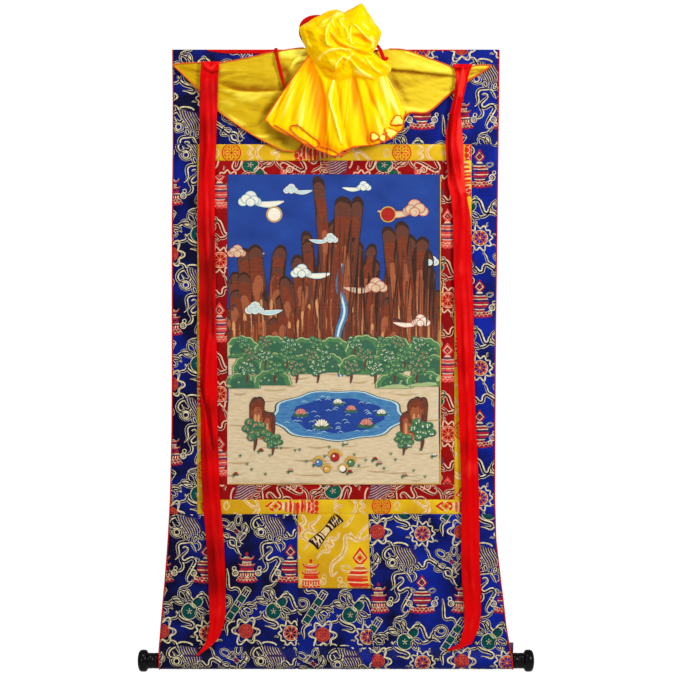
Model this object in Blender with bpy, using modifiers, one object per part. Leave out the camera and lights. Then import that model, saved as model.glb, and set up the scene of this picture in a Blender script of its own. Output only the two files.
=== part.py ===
"""A hanging scroll painting in a brocade mount, with a roller, two ribbons and a gathered silk veil.

The origin is the middle of the top edge. X runs to the viewer's right, Z up, and the viewer stands
at -Y. All sizes below are in millimetres: x from the middle, drop as the distance below the top edge,
and depth as the distance in front of the wall side, towards the viewer.
"""
import math

import bmesh
import bpy
import numpy as np

MM = 0.001

# Mount: one cloth thickness for all brocade, and the gap that keeps sewn pieces apart.
CLOTH = 1.5
GAP = 0.3
PIPING_RADIUS = 1.35
TOP_SEAM = 200.0
BOTTOM_SEAM = 980.0

# Frame strips round the painting, from the outside in.
YELLOW_LEFT, YELLOW_RIGHT = -290.5, 288.0
RED_LEFT, RED_RIGHT, RED_TOP, RED_BOTTOM = -256.5, 252.0, 234.5, 949.5
PICTURE_LEFT, PICTURE_RIGHT, PICTURE_TOP, PICTURE_BOTTOM = -227.0, 223.5, 264.0, 917.5
CANVAS = 1.2

# Outer outline of the mount, piping included: drop, left x, right x.
MOUNT_SIDES = (
    (0, -344, 348),
    (105, -343, 347),
    (212, -343, 345.5),
    (360, -345, 343.5),
    (592, -344.5, 340.5),
    (803, -345.5, 338.5),
    (950, -348.5, 338.5),
    (1035, -353.5, 341),
    (1119, -360, 350.5),
    (1162, -364, 356),
    (1214, -368.5, 362),
    (1267, -372.5, 371),
    (1310, -371.5, 376.5),
)

# The narrow middle piece under the painting and the patch above it: drop, left x, right x.
MIDDLE_SIDES = ((980, -79, 70.5), (1058, -79, 72.5), (1136, -77.5, 75), (1310, -80, 78))
PATCH_BOTTOM = 1136.0
PATCH_SAG = 4.0

# Roller: a dowel in the pocket that the lower pieces make, and two turned knobs.
ROLLER_DROP = 1290.0
ROLLER_DEPTH = -4.0
POCKET_RADIUS = 17.2
POCKET_START = 1260.0
DOWEL_RADIUS = 15.6
DOWEL_ENDS = (-371.0, 375.0)
# Knob from its inner face outwards: distance, radius.
KNOB = (
    (0, 14.6),
    (1.2, 16.4),
    (14, 16.6),
    (22.5, 16.2),
    (24, 17.6),
    (26, 21.6),
    (29, 23.2),
    (36, 23.2),
    (40, 21.6),
    (42.8, 17.2),
    (44.6, 10.5),
)

# Ribbons: drop, left x, right x, depth, fold depth, where the fold lies across (0 left, 1 right).
RIBBON_LEFT = (
    (27, -282, -243, 15, 1.0, 0.5),
    (34, -281.5, -243.5, 17, 3.0, 0.8),
    (62, -284, -245.5, 16, 2.5, 0.3),
    (128, -285, -247.5, 14, 3.0, 0.4),
    (212, -285.5, -250.5, 9, 5.0, 0.5),
    (286, -288, -253, 8, 4.0, 0.4),
    (381, -289.5, -253, 8, 3.0, 0.5),
    (455, -286, -251.5, 8, 4.0, 0.6),
    (592, -286, -250, 8, 4.0, 0.6),
    (668, -284, -247.5, 8, 5.5, 0.35),
    (765, -283, -247, 8, 5.5, 0.3),
    (862, -282.5, -245, 8, 3.5, 0.4),
    (951, -278.5, -241, 8, 3.0, 0.5),
    (1033, -271, -233.5, 8, 3.5, 0.5),
    (1130, -266, -229.5, 9, 4.0, 0.6),
    (1185, -264.5, -229.5, 9, 3.0, 0.6),
    (1212, -263.5, -233.5, 9, 2.0, 0.5),
    (1240, -268.5, -244.5, 11, 1.2, 0.5),
    (1257, -276.5, -260.5, 12.5, 0.8, 0.5),
    (1279, -293, -290.5, 15, 0.3, 0.5),
)
RIBBON_RIGHT = (
    (33, 249.5, 288, 17, 1.0, 0.5),
    (39, 249.5, 288, 20, 4.0, 0.5),
    (48, 252.5, 283.5, 19, 7.0, 0.5),
    (64, 254.5, 279.5, 18, 9.0, 0.45),
    (107, 248.5, 269, 16, 10.0, 0.4),
    (138, 241, 264, 15, 9.0, 0.4),
    (170, 234.5, 267.5, 13, 7.0, 0.35),
    (202, 233, 270.5, 11, 7.0, 0.3),
    (243, 235, 271.5, 9, 6.0, 0.4),
    (286, 237.5, 274, 8, 6.0, 0.6),
    (310, 243.5, 277.5, 8, 6.5, 0.65),
    (358, 248.5, 286, 8, 3.5, 0.5),
    (455, 249.5, 288.5, 8, 3.0, 0.4),
    (552, 253, 292, 8, 4.5, 0.45),
    (668, 258, 293.5, 8, 5.5, 0.5),
    (765, 260.5, 295.5, 8, 5.0, 0.6),
    (862, 264, 300.5, 8, 4.0, 0.5),
    (951, 266.5, 303.5, 8, 3.5, 0.4),
    (1077, 265.5, 304.5, 8, 3.0, 0.5),
    (1130, 268, 306.5, 9, 3.5, 0.6),
    (1183, 272, 307.5, 9, 3.0, 0.6),
    (1217, 271.5, 304.5, 9, 2.0, 0.5),
    (1252, 262.5, 288, 11.5, 1.2, 0.5),
    (1263, 238, 263, 13, 0.8, 0.5),
    (1268, 234, 238, 14, 0.3, 0.5),
)
RIBBON = 1.0

# Heading tape along the top edge: x, width of the tape.
HEADING = ((-270, 2), (-255, 5), (-225, 8), (-130, 8.5), (0, 5), (130, 3), (276, 2))
HEADING_THICKNESS = 1.0

# Veil, left and right wing: x, drop of its top edge, drop of its lower edge, depth.
WING_LEFT = (
    (-340.5, 32.5, 35, 7),
    (-314, 29.5, 60, 7),
    (-286, 28.5, 88.5, 7),
    (-247, 29.5, 130, 7),
    (-180.5, 17.5, 176.5, 7),
    (-141.5, 8, 198, 7.5),
    (-103, 2, 215, 8),
    (-72, -2, 205, 9),
    (-45, 0, 120, 14),
    (-22, 8, 52, 22),
)
WING_RIGHT = (
    (62, 12, 40, 24),
    (80, 9, 60, 14),
    (98, 2, 104, 9),
    (116, 0, 140, 8),
    (142, 1, 143, 8),
    (161.5, 6, 134, 7),
    (196, 18.5, 133, 7),
    (231, 31.5, 104, 7),
    (253, 39.5, 85.5, 7),
    (281, 37, 67, 7),
    (306, 33.5, 51, 7),
    (328, 34, 37, 7),
)
VEIL = 1.6

# Veil, hanging skirt from left to right: waist x, waist drop, hem x, hem drop, hem depth.
SKIRT = (
    (-67, 9, -149, 149, 21),
    (-60, 20, -131, 166, 27),
    (-47, 27, -95, 186, 34),
    (-30, 34, -67, 200, 33),
    (-12, 40, -38, 212, 32),
    (4, 44, -18, 223, 40),
    (18, 44, 1, 227, 42),
    (34, 42, 17, 218, 36),
    (50, 39, 36, 209, 37),
    (64, 37, 57, 207, 36),
    (77, 36, 80, 203, 34),
    (88, 37, 104, 197, 33),
    (97, 41, 124, 184, 30),
    (103, 48, 143, 165, 28),
    (107, 54, 147, 134, 24),
)
# Ridges of the skirt's pleats: place across from the left (0) to the right (1), rise at the hem.
PLEATS = (
    (0.01, 3),
    (0.12, 4),
    (0.21, 6),
    (0.31, 3),
    (0.43, 8),
    (0.57, 5),
    (0.74, 7),
    (0.83, 4),
    (0.91, 5),
    (0.99, 3),
)

# Veil, outline of the gathered knot, clockwise from its left point: x, drop.
KNOT_RIM = (
    (-76, -42),
    (-58, -53),
    (-31, -68),
    (-12, -78),
    (2, -80.5),
    (20, -74),
    (38, -84),
    (57, -94),
    (68, -76),
    (82, -54),
    (97.5, -33),
    (89, -7),
    (80, 9),
    (97, 26),
    (118, 36),
    (118, 48),
    (106, 58),
    (86, 70),
    (62, 64),
    (38, 60),
    (18, 70),
    (1, 74),
    (-18, 64),
    (-30, 44),
    (-50, 22),
    (-62, -2),
    (-70, -22),
)
KNOT_MIDDLE = (18.0, -8.0)
KNOT_MOUTH = (18.0, 22.0)
# Section of the knot from its front to its open back: turn from the front, share of the rim, depth.
KNOT_SECTION = (
    (0, 0.0, 70),
    (30, 0.36, 67),
    (55, 0.66, 57),
    (75, 0.89, 42),
    (95, 1.0, 27),
    (115, 0.96, 16),
    (135, 0.80, 10),
    (155, 0.50, 8),
    (170, 0.25, 8),
)
# Main folds on the knot's front: start x, start drop, end x, end drop, rise, spread.
KNOT_FOLDS = (
    (-4, -58, -18, -10, 7, 7),
    (38, -48, 86, -14, 8, 7),
    (37, -44, 33, -2, 6, 6),
    (-6, -24, 60, 10, 8, 8),
    (-30, 22, 34, 6, 8, 7),
    (28, 28, 86, 66, 9, 8),
    (2, 46, 18, 24, 6, 6),
    (66, 26, 108, 54, 8, 7),
    (26, -78, 10, -46, 6, 8),
    (34, -20, 60, -14, -7, 8),
    (-46, -30, -36, -6, -5, 9),
)

# The red tie behind the knot, up to its right end: x, drop, depth, half its width.
TIE = (
    (-58, -8, 4, 5.0),
    (-70, -32, 4, 5.5),
    (-66, -54, 4, 6.5),
    (-50, -65, 4, 6.0),
    (-26, -66, 3.5, 5.0),
    (4, -54, 3.5, 5.0),
    (32, -38, 3.5, 5.0),
    (60, -22, 3.5, 4.5),
    (80, -11, 5, 4.0),
    (89, -6, 11, 3.5),
    (94.5, 2, 20, 3.5),
    (99, 13, 23, 4.0),
    (102, 21, 24, 4.0),
    (107, 23, 24, 3.5),
    (111, 19, 23, 2.5),
)
# The tie's left tail, over the top edge from behind and down in front: x, drop, depth, half its width.
TIE_TAIL = (
    (-110, 78, 18, 4.0),
    (-114, 52, 17, 5.0),
    (-120.5, 24, 16, 6.0),
    (-121.5, 8, 13, 6.0),
    (-121.5, 1, 8, 6.0),
    (-121.5, -2.2, 3, 6.0),
    (-121.5, -2.4, 0, 6.0),
    (-121.5, 0, -2.4, 6.0),
    (-121, 8, -2.9, 6.0),
    (-120, 20, -2.9, 6.0),
)
TIE_THICKNESS = 1.2


def columns(table):
    """The table's columns as arrays."""
    return np.array(table, dtype=float).T


def along(table, t):
    """A smooth curve through the table's rows, for t from 0 to 1 along the rows."""
    rows = np.array(table, dtype=float)
    place = np.clip(np.asarray(t, dtype=float), 0, 1) * (len(rows) - 1)
    first = np.minimum(place.astype(int), len(rows) - 2)
    part = (place - first)[..., None]
    before, start = rows[np.maximum(first - 1, 0)], rows[first]
    end, after = rows[first + 1], rows[np.minimum(first + 2, len(rows) - 1)]
    return 0.5 * (
        2 * start
        + (end - before) * part
        + (2 * before - 5 * start + 4 * end - after) * part**2
        + (3 * start - before - 3 * end + after) * part**3
    )


def looked_up(table, value, column):
    """The table's column at a value of its first column."""
    keys = columns(table)
    return np.interp(value, keys[0], keys[column])


def fade(value, start, end):
    """0 below start, 1 above end, and smooth between."""
    t = np.clip((value - start) / (end - start), 0, 1)
    return t * t * (3 - 2 * t)


def hang(x, drop):
    """How far the mount's cloth stands forward of the wall side, from its slack and its own weight."""
    free = fade(drop, 40, 420) * (1 - fade(drop, 1120, 1250))
    wide = 2.4 * np.sin(x / 95 + drop / 310 + 0.8) + 1.5 * np.sin(drop / 88 - x / 260)
    flutes = 3.2 * np.sin(x / 44 + 0.5) * fade(drop, 930, 1080)
    edge = 2.5 * np.sin(drop / 61 + np.sign(x)) * fade(np.abs(x), 270, 345)
    return free * (3.5 + wide + flutes + edge)


def material(name, colour, roughness):
    """A plain Principled material of its own."""
    made = bpy.data.materials.new(name)
    made.use_nodes = True
    shader = made.node_tree.nodes["Principled BSDF"]
    shader.inputs["Base Color"].default_value = (*colour, 1)
    shader.inputs["Roughness"].default_value = roughness
    return made


def add_object(name, mesh, look, collection):
    """An object of the mesh, with its material, in the collection."""
    mesh.name = name
    made = bpy.data.objects.new(name, mesh)
    made.data.materials.append(look)
    collection.objects.link(made)
    return made


def grid_mesh(points):
    """A grid mesh through the points, rows by columns, given as x, depth and drop."""
    rows, across = points.shape[:2]
    shape = bmesh.new()
    bmesh.ops.create_grid(shape, x_segments=across - 1, y_segments=rows - 1, size=1)
    shape.verts.ensure_lookup_table()
    for vertex in shape.verts:
        column = round((vertex.co.x + 1) / 2 * (across - 1))
        row = round((1 - vertex.co.y) / 2 * (rows - 1))
        x, depth, drop = points[row, column]
        vertex.co = (x * MM, -depth * MM, -drop * MM)
    mesh = bpy.data.meshes.new("grid")
    shape.to_mesh(mesh)
    shape.free()
    return mesh


def solidify(made, thickness):
    """Cloth thickness, half on each side of the surface."""
    shell = made.modifiers.new("thickness", "SOLIDIFY")
    shell.thickness = thickness * MM
    shell.offset = 0
    shell.use_even_offset = True
    shell.use_quality_normals = True


def sheet(name, points, thickness, look, collection):
    """A sheet of cloth of one thickness through the grid of points."""
    made = add_object(name, grid_mesh(points), look, collection)
    solidify(made, thickness)
    return made


def panel_points(left, right, drops, steps, forward=0.0):
    """A flat panel's grid between two side lines, which are functions of the drop."""
    across = np.linspace(0, 1, steps + 1)
    rows = []
    for drop in drops:
        start, end = left(drop) + GAP / 2, right(drop) - GAP / 2
        x = start + (end - start) * across
        depth = hang(x, drop) + forward
        rows.append(np.stack([x, depth, np.full_like(x, drop)], axis=1))
    return np.array(rows)


def fixed(x):
    """A side line that runs straight down."""
    return lambda drop: x


def mount_left(drop):
    return looked_up(MOUNT_SIDES, drop, 1) + 2 * PIPING_RADIUS + GAP


def mount_right(drop):
    return looked_up(MOUNT_SIDES, drop, 2) - 2 * PIPING_RADIUS - GAP


def middle_left(drop):
    return looked_up(MIDDLE_SIDES, drop, 1)


def middle_right(drop):
    return looked_up(MIDDLE_SIDES, drop, 2)


def drops_between(top, bottom, steps):
    return np.linspace(top + GAP / 2, bottom - GAP / 2, steps + 1)


def pocket_section():
    """Drop and forward shift of the cloth from the pocket's start, round the roller and up its back."""
    stations = [(POCKET_START, 0.0)]
    for turn in np.linspace(38, 322, 15):
        angle = math.radians(turn)
        stations.append(
            (
                ROLLER_DROP - POCKET_RADIUS * math.cos(angle),
                ROLLER_DEPTH + POCKET_RADIUS * math.sin(angle),
            )
        )
    behind = CLOTH + GAP + 0.4
    stations += [(POCKET_START + 3, -behind - 1), (POCKET_START - 9, -behind)]
    return stations


def lower_points(left, right, top, flat_steps, steps):
    """A lower piece: flat from its seam, then round the roller."""
    flat = panel_points(left, right, drops_between(top, POCKET_START, flat_steps)[:-1], steps)
    across = np.linspace(0, 1, steps + 1)
    rows = list(flat)
    for drop, shift in pocket_section():
        at = min(drop, 1310.0)
        start, end = left(at) + GAP / 2, right(at) - GAP / 2
        x = start + (end - start) * across
        depth = hang(x, drop) + shift
        rows.append(np.stack([x, depth, np.full_like(x, drop)], axis=1))
    return np.array(rows)


def pocket_left(drop):
    return mount_left(drop) - (2 * PIPING_RADIUS + GAP) * fade(drop, POCKET_START, 1272)


def pocket_right(drop):
    return mount_right(drop) + (2 * PIPING_RADIUS + GAP) * fade(drop, POCKET_START, 1272)


def build_mount(looks, collection):
    """The brocade panels, the strips round the painting, the painting and the patch."""
    blue, yellow, red = looks["blue brocade"], looks["yellow brocade"], looks["red brocade"]
    side_drops = drops_between(TOP_SEAM, BOTTOM_SEAM, 16)
    sheet(
        "brocade_top",
        panel_points(mount_left, mount_right, drops_between(0, TOP_SEAM, 5), 14),
        CLOTH,
        blue,
        collection,
    )
    for name, left, right in (
        ("brocade_left", mount_left, fixed(YELLOW_LEFT)),
        ("brocade_right", fixed(YELLOW_RIGHT), mount_right),
    ):
        sheet(name, panel_points(left, right, side_drops, 4), CLOTH, blue, collection)
    for name, left, right, top, flat_steps, steps in (
        ("brocade_lower_left", pocket_left, middle_left, BOTTOM_SEAM, 7, 10),
        ("brocade_lower_middle", middle_left, middle_right, PATCH_BOTTOM, 4, 5),
        ("brocade_lower_right", middle_right, pocket_right, BOTTOM_SEAM, 7, 10),
    ):
        sheet(name, lower_points(left, right, top, flat_steps, steps), CLOTH, blue, collection)

    for name, look, left, right, top, bottom, steps, across in (
        ("yellow_top", yellow, YELLOW_LEFT, YELLOW_RIGHT, TOP_SEAM, RED_TOP, 2, 16),
        ("yellow_bottom", yellow, YELLOW_LEFT, YELLOW_RIGHT, RED_BOTTOM, BOTTOM_SEAM, 2, 16),
        ("yellow_left", yellow, YELLOW_LEFT, RED_LEFT, RED_TOP, RED_BOTTOM, 16, 2),
        ("yellow_right", yellow, RED_RIGHT, YELLOW_RIGHT, RED_TOP, RED_BOTTOM, 16, 2),
        ("red_top", red, RED_LEFT, RED_RIGHT, RED_TOP, PICTURE_TOP, 2, 14),
        ("red_bottom", red, RED_LEFT, RED_RIGHT, PICTURE_BOTTOM, RED_BOTTOM, 2, 14),
        ("red_left", red, RED_LEFT, PICTURE_LEFT, PICTURE_TOP, PICTURE_BOTTOM, 14, 2),
        ("red_right", red, PICTURE_RIGHT, RED_RIGHT, PICTURE_TOP, PICTURE_BOTTOM, 14, 2),
    ):
        drops = drops_between(top, bottom, steps)
        points = panel_points(fixed(left), fixed(right), drops, across)
        sheet(name, points, CLOTH, look, collection)

    drops = drops_between(PICTURE_TOP, PICTURE_BOTTOM, 12)
    points = panel_points(fixed(PICTURE_LEFT), fixed(PICTURE_RIGHT), drops, 9)
    sheet("painting", points, CANVAS, looks["canvas"], collection)

    points = panel_points(middle_left, middle_right, drops_between(BOTTOM_SEAM, PATCH_BOTTOM, 8), 7)
    low = fade(points[..., 2], BOTTOM_SEAM + 40, PATCH_BOTTOM)
    side = fade(points[..., 0], -40, 75)
    points[..., 1] += PATCH_SAG * low * (0.35 + 0.65 * side)
    sheet("door_patch", points, CLOTH, yellow, collection)


def tube(name, path, radius, sides, look, collection):
    """A round cord along the path, closed at both ends, made by sweeping a circle."""
    shape = bmesh.new()
    rings = []
    for place in path:
        circle = bmesh.ops.create_circle(shape, segments=sides, radius=radius * MM)
        for vertex in circle["verts"]:
            vertex.co.x += place[0] * MM
            vertex.co.y -= place[1] * MM
            vertex.co.z = -place[2] * MM
        rings.append(list({e for v in circle["verts"] for e in v.link_edges}))
    for upper, lower in zip(rings, rings[1:]):
        bmesh.ops.bridge_loops(shape, edges=upper + lower)
    bmesh.ops.holes_fill(shape, edges=[e for e in shape.edges if e.is_boundary], sides=0)
    bmesh.ops.recalc_face_normals(shape, faces=shape.faces)
    mesh = bpy.data.meshes.new(name)
    shape.to_mesh(mesh)
    shape.free()
    return add_object(name, mesh, look, collection)


def build_piping(looks, collection):
    """The red piping down both outer edges."""
    for name, column, inwards in (("piping_left", 1, 1), ("piping_right", 2, -1)):
        path = []
        for drop in np.linspace(0.5, POCKET_START + 6, 24):
            x = looked_up(MOUNT_SIDES, drop, column) + inwards * PIPING_RADIUS
            path.append((x, float(hang(x, drop)), drop))
        tube(name, path, PIPING_RADIUS, 8, looks["red piping"], collection)


def build_heading(looks, collection):
    """The tape sewn over the top edge, wider at the left."""
    rows = []
    for share in (0, 0.5, 1):
        row = []
        for x, width in along(HEADING, np.linspace(0, 1, 21)):
            row.append((x, CLOTH / 2 + GAP + HEADING_THICKNESS / 2, 0.3 + width * share))
        rows.append(row)
    sheet("heading_tape", np.array(rows), HEADING_THICKNESS, looks["red tape"], collection)


def lathe(name, profile, start, outwards, drop, depth, look, collection):
    """A turned piece along X from the start, from its profile of distance and radius."""
    shape = bmesh.new()
    outline = [(0, 0), *profile, (profile[-1][0] + 0.6, 0)]
    made = [shape.verts.new((start * MM + outwards * d * MM, 0, r * MM)) for d, r in outline]
    edges = [shape.edges.new(pair) for pair in zip(made, made[1:])]
    bmesh.ops.spin(
        shape,
        geom=made + edges,
        cent=(0, 0, 0),
        axis=(1, 0, 0),
        angle=2 * math.pi,
        steps=32,
        use_merge=True,
    )
    bmesh.ops.remove_doubles(shape, verts=shape.verts, dist=0.00001)
    bmesh.ops.recalc_face_normals(shape, faces=shape.faces)
    for vertex in shape.verts:
        vertex.co.y -= depth * MM
        vertex.co.z -= drop * MM
    mesh = bpy.data.meshes.new(name)
    shape.to_mesh(mesh)
    shape.free()
    return add_object(name, mesh, look, collection)


def build_roller(looks, collection):
    """The dowel in the pocket and a knob at each end."""
    left, right = DOWEL_ENDS
    dowel = ((0, DOWEL_RADIUS - 1), (1, DOWEL_RADIUS), (right - left - 1, DOWEL_RADIUS))
    dowel += ((right - left - 0.6, DOWEL_RADIUS - 1),)
    lathe("roller_dowel", dowel, left, 1, ROLLER_DROP, ROLLER_DEPTH, looks["wood"], collection)
    for name, start, outwards in (("knob_left", left - GAP, -1), ("knob_right", right + GAP, 1)):
        lathe(name, KNOB, start, outwards, ROLLER_DROP, ROLLER_DEPTH, looks["lacquer"], collection)


def ribbon_points(table, rows, steps):
    """A hanging ribbon: its sides from the table, with a lengthwise fold of the given depth."""
    drops = columns(table)[0]
    across = np.linspace(0, 1, steps + 1)
    made = []
    for t in np.linspace(0, 1, rows + 1):
        drop = np.interp(t, np.linspace(0, 1, len(drops)), drops)
        left, right, depth, fold, where = (looked_up(table, drop, i) for i in range(1, 6))
        x = left + (right - left) * across
        ridge = np.exp(-(((across - where) / 0.28) ** 2))
        ripple = 1.2 * np.sin(drop / 37 + 5 * across)
        y = depth + hang(x, drop) + fold * ridge + ripple * fade(drop, 60, 200)
        made.append(np.stack([x, y, np.full_like(x, drop)], axis=1))
    return np.array(made)


def build_ribbons(looks, collection):
    """The two red ribbons that hang in front."""
    for name, table in (("ribbon_left", RIBBON_LEFT), ("ribbon_right", RIBBON_RIGHT)):
        sheet(name, ribbon_points(table, 40, 5), RIBBON, looks["red satin"], collection)


def wing_points(table, steps, rows, tip_first):
    """A wing of the veil, with creases that fan out from its tip."""
    made = []
    for share in np.linspace(0, 1, rows + 1):
        row = []
        for x, top, bottom, depth in along(table, np.linspace(0, 1, steps + 1)):
            drop = top + (bottom - top) * share
            tall = bottom - top
            slack = min(tall / 60, 1.0)
            crease = 2.2 * math.sin(share * 15 + x / 90) + 1.4 * math.sin(share * 7 - x / 60)
            fold = 3.0 * (1 - float(fade(share, 0.22, 0.34))) if not tip_first else 0.0
            row.append((x, depth + slack * (crease + fold), drop))
        made.append(row)
    return np.array(made)


def skirt_points(steps, rows):
    """The pleated skirt of the veil: pleats deepen from the waist to the hem."""
    across = np.linspace(0, 1, steps + 1)
    table = along(SKIRT, across)
    made = []
    for share in np.linspace(0, 1, rows + 1):
        waist_x, waist_drop, hem_x, hem_drop, hem_depth = table.T
        swell = 4.0 * math.sin(math.pi * share)
        ridges, rises = columns(PLEATS)
        phase = 2 * math.pi * np.interp(across, ridges, np.arange(len(ridges)))
        pleat = np.interp(across, ridges, rises) * (0.25 + 0.75 * share) * np.cos(phase)
        x = waist_x + (hem_x - waist_x) * share + 1.5 * share * np.cos(phase)
        drop = waist_drop + (hem_drop - waist_drop) * share
        depth = 26 + (hem_depth - 26) * share + swell + pleat * fade(share, 0, 0.3)
        made.append(np.stack([x, depth, drop], axis=1))
    return np.array(made)


def knot_mesh(around, turns):
    """The gathered knot as a bag of cloth, open at its back, with its main folds in front."""
    shape = bmesh.new()
    bmesh.ops.create_uvsphere(shape, u_segments=around, v_segments=turns, radius=1)
    rim = np.array(KNOT_RIM + KNOT_RIM[:1], dtype=float)
    angles = np.unwrap(np.arctan2(rim[:, 1] - KNOT_MIDDLE[1], rim[:, 0] - KNOT_MIDDLE[0]))
    reach = np.hypot(rim[:, 0] - KNOT_MIDDLE[0], rim[:, 1] - KNOT_MIDDLE[1])
    mouth = [v for v in shape.verts if v.co.z < -0.9999]
    for vertex in shape.verts:
        turn = math.degrees(math.acos(max(-1.0, min(1.0, vertex.co.z))))
        angle = math.atan2(vertex.co.y, vertex.co.x)
        while angle < angles[0]:
            angle += 2 * math.pi
        while angle > angles[-1]:
            angle -= 2 * math.pi
        radius = float(np.interp(angle, angles, reach))
        share, depth = looked_up(KNOT_SECTION, turn, 1), looked_up(KNOT_SECTION, turn, 2)
        back = float(fade(turn, 100, 165))
        middle = [a + (b - a) * back for a, b in zip(KNOT_MIDDLE, KNOT_MOUTH)]
        x = middle[0] + radius * share * math.cos(angle)
        drop = middle[1] + radius * share * math.sin(angle)
        front = 1 - float(fade(turn, 70, 100))
        for x0, d0, x1, d1, rise, spread in KNOT_FOLDS:
            way = (x1 - x0, d1 - d0)
            part = ((x - x0) * way[0] + (drop - d0) * way[1]) / (way[0] ** 2 + way[1] ** 2)
            part = max(0.0, min(1.0, part))
            off = math.hypot(x - x0 - way[0] * part, drop - d0 - way[1] * part)
            depth += front * rise * math.exp(-((off / spread) ** 2))
        vertex.co = (x * MM, -depth * MM, -drop * MM)
    bmesh.ops.delete(shape, geom=mouth, context="VERTS")
    bmesh.ops.recalc_face_normals(shape, faces=shape.faces)
    mesh = bpy.data.meshes.new("knot")
    shape.to_mesh(mesh)
    shape.free()
    return mesh


def build_veil(looks, collection, cutters):
    """The veil as one cloth: its knot, with the skirt and both wings joined to it."""
    silk = looks["yellow silk"]
    veil = add_object("veil", knot_mesh(40, 16), silk, collection)
    solidify(veil, VEIL)
    pieces = (
        ("veil_skirt", skirt_points(44, 6)),
        ("veil_wing_left", wing_points(WING_LEFT, 13, 8, True)),
        ("veil_wing_right", wing_points(WING_RIGHT, 13, 8, False)),
    )
    for name, points in pieces:
        piece = sheet(name, points, VEIL, silk, cutters)
        piece.hide_render = True
        piece.display_type = "WIRE"
        join = veil.modifiers.new(name, "BOOLEAN")
        join.operation = "UNION"
        join.solver = "EXACT"
        join.object = piece


def strap(name, points, look, collection):
    """A flat strap through the three lines of points: one side, the middle and the other side."""
    return sheet(name, np.array(points), TIE_THICKNESS, look, collection)


def build_tie(looks, collection):
    """The red tie: its long part behind the knot with the right end, and its left tail."""
    rows = along(TIE, np.linspace(0, 1, 41))
    ways = np.gradient(rows[:, :2], axis=0)
    ways /= np.linalg.norm(ways, axis=1)[:, None]
    lines = []
    for side in (-1, 0, 1):
        x = rows[:, 0] - ways[:, 1] * rows[:, 3] * side
        drop = rows[:, 1] + ways[:, 0] * rows[:, 3] * side
        lines.append(np.stack([x, rows[:, 2], drop], axis=1))
    strap("tie", lines, looks["red tie"], collection)

    rows = along(TIE_TAIL, np.linspace(0, 1, 31))
    lines = []
    for side in (-1, 0, 1):
        x = rows[:, 0] + rows[:, 3] * side
        lines.append(np.stack([x, rows[:, 2], rows[:, 1]], axis=1))
    strap("tie_tail", lines, looks["red tie"], collection)


def clear_scene():
    for old in list(bpy.data.objects):
        bpy.data.objects.remove(old, do_unlink=True)


def main():
    clear_scene()
    collection = bpy.data.collections.new("thangka")
    cutters = bpy.data.collections.new("cutters")
    for made in (collection, cutters):
        bpy.context.scene.collection.children.link(made)
    looks = {
        name: material(name, colour, roughness)
        for name, colour, roughness in (
            ("blue brocade", (0.016, 0.028, 0.33), 0.55),
            ("yellow brocade", (0.75, 0.47, 0.02), 0.5),
            ("red brocade", (0.42, 0.012, 0.016), 0.5),
            ("canvas", (0.32, 0.22, 0.15), 0.8),
            ("red satin", (0.71, 0.006, 0.012), 0.35),
            ("red piping", (0.6, 0.01, 0.015), 0.6),
            ("red tape", (0.6, 0.01, 0.015), 0.6),
            ("red tie", (0.65, 0.01, 0.015), 0.5),
            ("yellow silk", (0.93, 0.62, 0.01), 0.4),
            ("wood", (0.35, 0.2, 0.1), 0.6),
            ("lacquer", (0.006, 0.006, 0.007), 0.25),
        )
    }
    build_mount(looks, collection)
    build_piping(looks, collection)
    build_heading(looks, collection)
    build_roller(looks, collection)
    build_ribbons(looks, collection)
    build_veil(looks, collection, cutters)
    build_tie(looks, collection)


main()
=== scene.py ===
"""Looks of a hanging scroll painting: brocade mount, painting, ribbons, silk veil and roller.

Lengths in the tables are millimetres: x from the middle, drop below the top edge, and depth in front
of the wall side. The viewer stands at -Y. Figures of the brocade are drawn in units of their own
(UNIT millimetres each), x to the right and y downwards.
"""

import logging
from dataclasses import dataclass, field, replace
from enum import Enum
from math import atan2, cos, degrees, hypot, pi, radians, sin, sqrt
from typing import Callable, Dict, List, Optional, Sequence, Tuple

import bmesh
import bpy
import numpy as np
from bpy.types import Material, Mesh, Node, NodeSocket, NodeTree, Object
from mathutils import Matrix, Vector
from mathutils.geometry import delaunay_2d_cdt

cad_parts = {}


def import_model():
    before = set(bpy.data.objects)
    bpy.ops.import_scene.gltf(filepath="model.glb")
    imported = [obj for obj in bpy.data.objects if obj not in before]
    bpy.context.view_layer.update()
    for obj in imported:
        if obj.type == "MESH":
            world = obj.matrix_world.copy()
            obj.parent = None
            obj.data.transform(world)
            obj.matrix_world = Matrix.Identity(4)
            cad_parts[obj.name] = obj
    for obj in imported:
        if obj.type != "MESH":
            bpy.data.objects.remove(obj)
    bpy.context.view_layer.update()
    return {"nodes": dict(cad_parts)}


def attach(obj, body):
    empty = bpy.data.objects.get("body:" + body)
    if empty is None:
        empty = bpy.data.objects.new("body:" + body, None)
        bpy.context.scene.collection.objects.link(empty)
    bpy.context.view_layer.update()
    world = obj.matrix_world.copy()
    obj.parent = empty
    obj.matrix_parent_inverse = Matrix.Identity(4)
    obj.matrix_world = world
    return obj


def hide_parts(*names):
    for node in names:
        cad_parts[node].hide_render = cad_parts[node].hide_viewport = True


Numbers = np.ndarray
Arrays = Tuple[Numbers, Numbers]
Colour = Tuple[float, float, float]
Pair = Tuple[float, float]
Box = Tuple[float, float, float, float]
Rows = Sequence[Sequence[float]]
Line = Callable[[Numbers], Numbers]

MM = 0.001
UNIT = 2.11
LOG = logging.getLogger("scroll")


class Thread(Enum):
    """Threads that a brocade's figures are woven in."""

    CREAM = "cream"
    RED = "red"
    GREEN = "green"
    ORANGE = "orange"
    PURPLE = "purple"
    DARK = "dark"


CREAM, RED, GREEN, ORANGE, PURPLE, DARK = Thread


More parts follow.
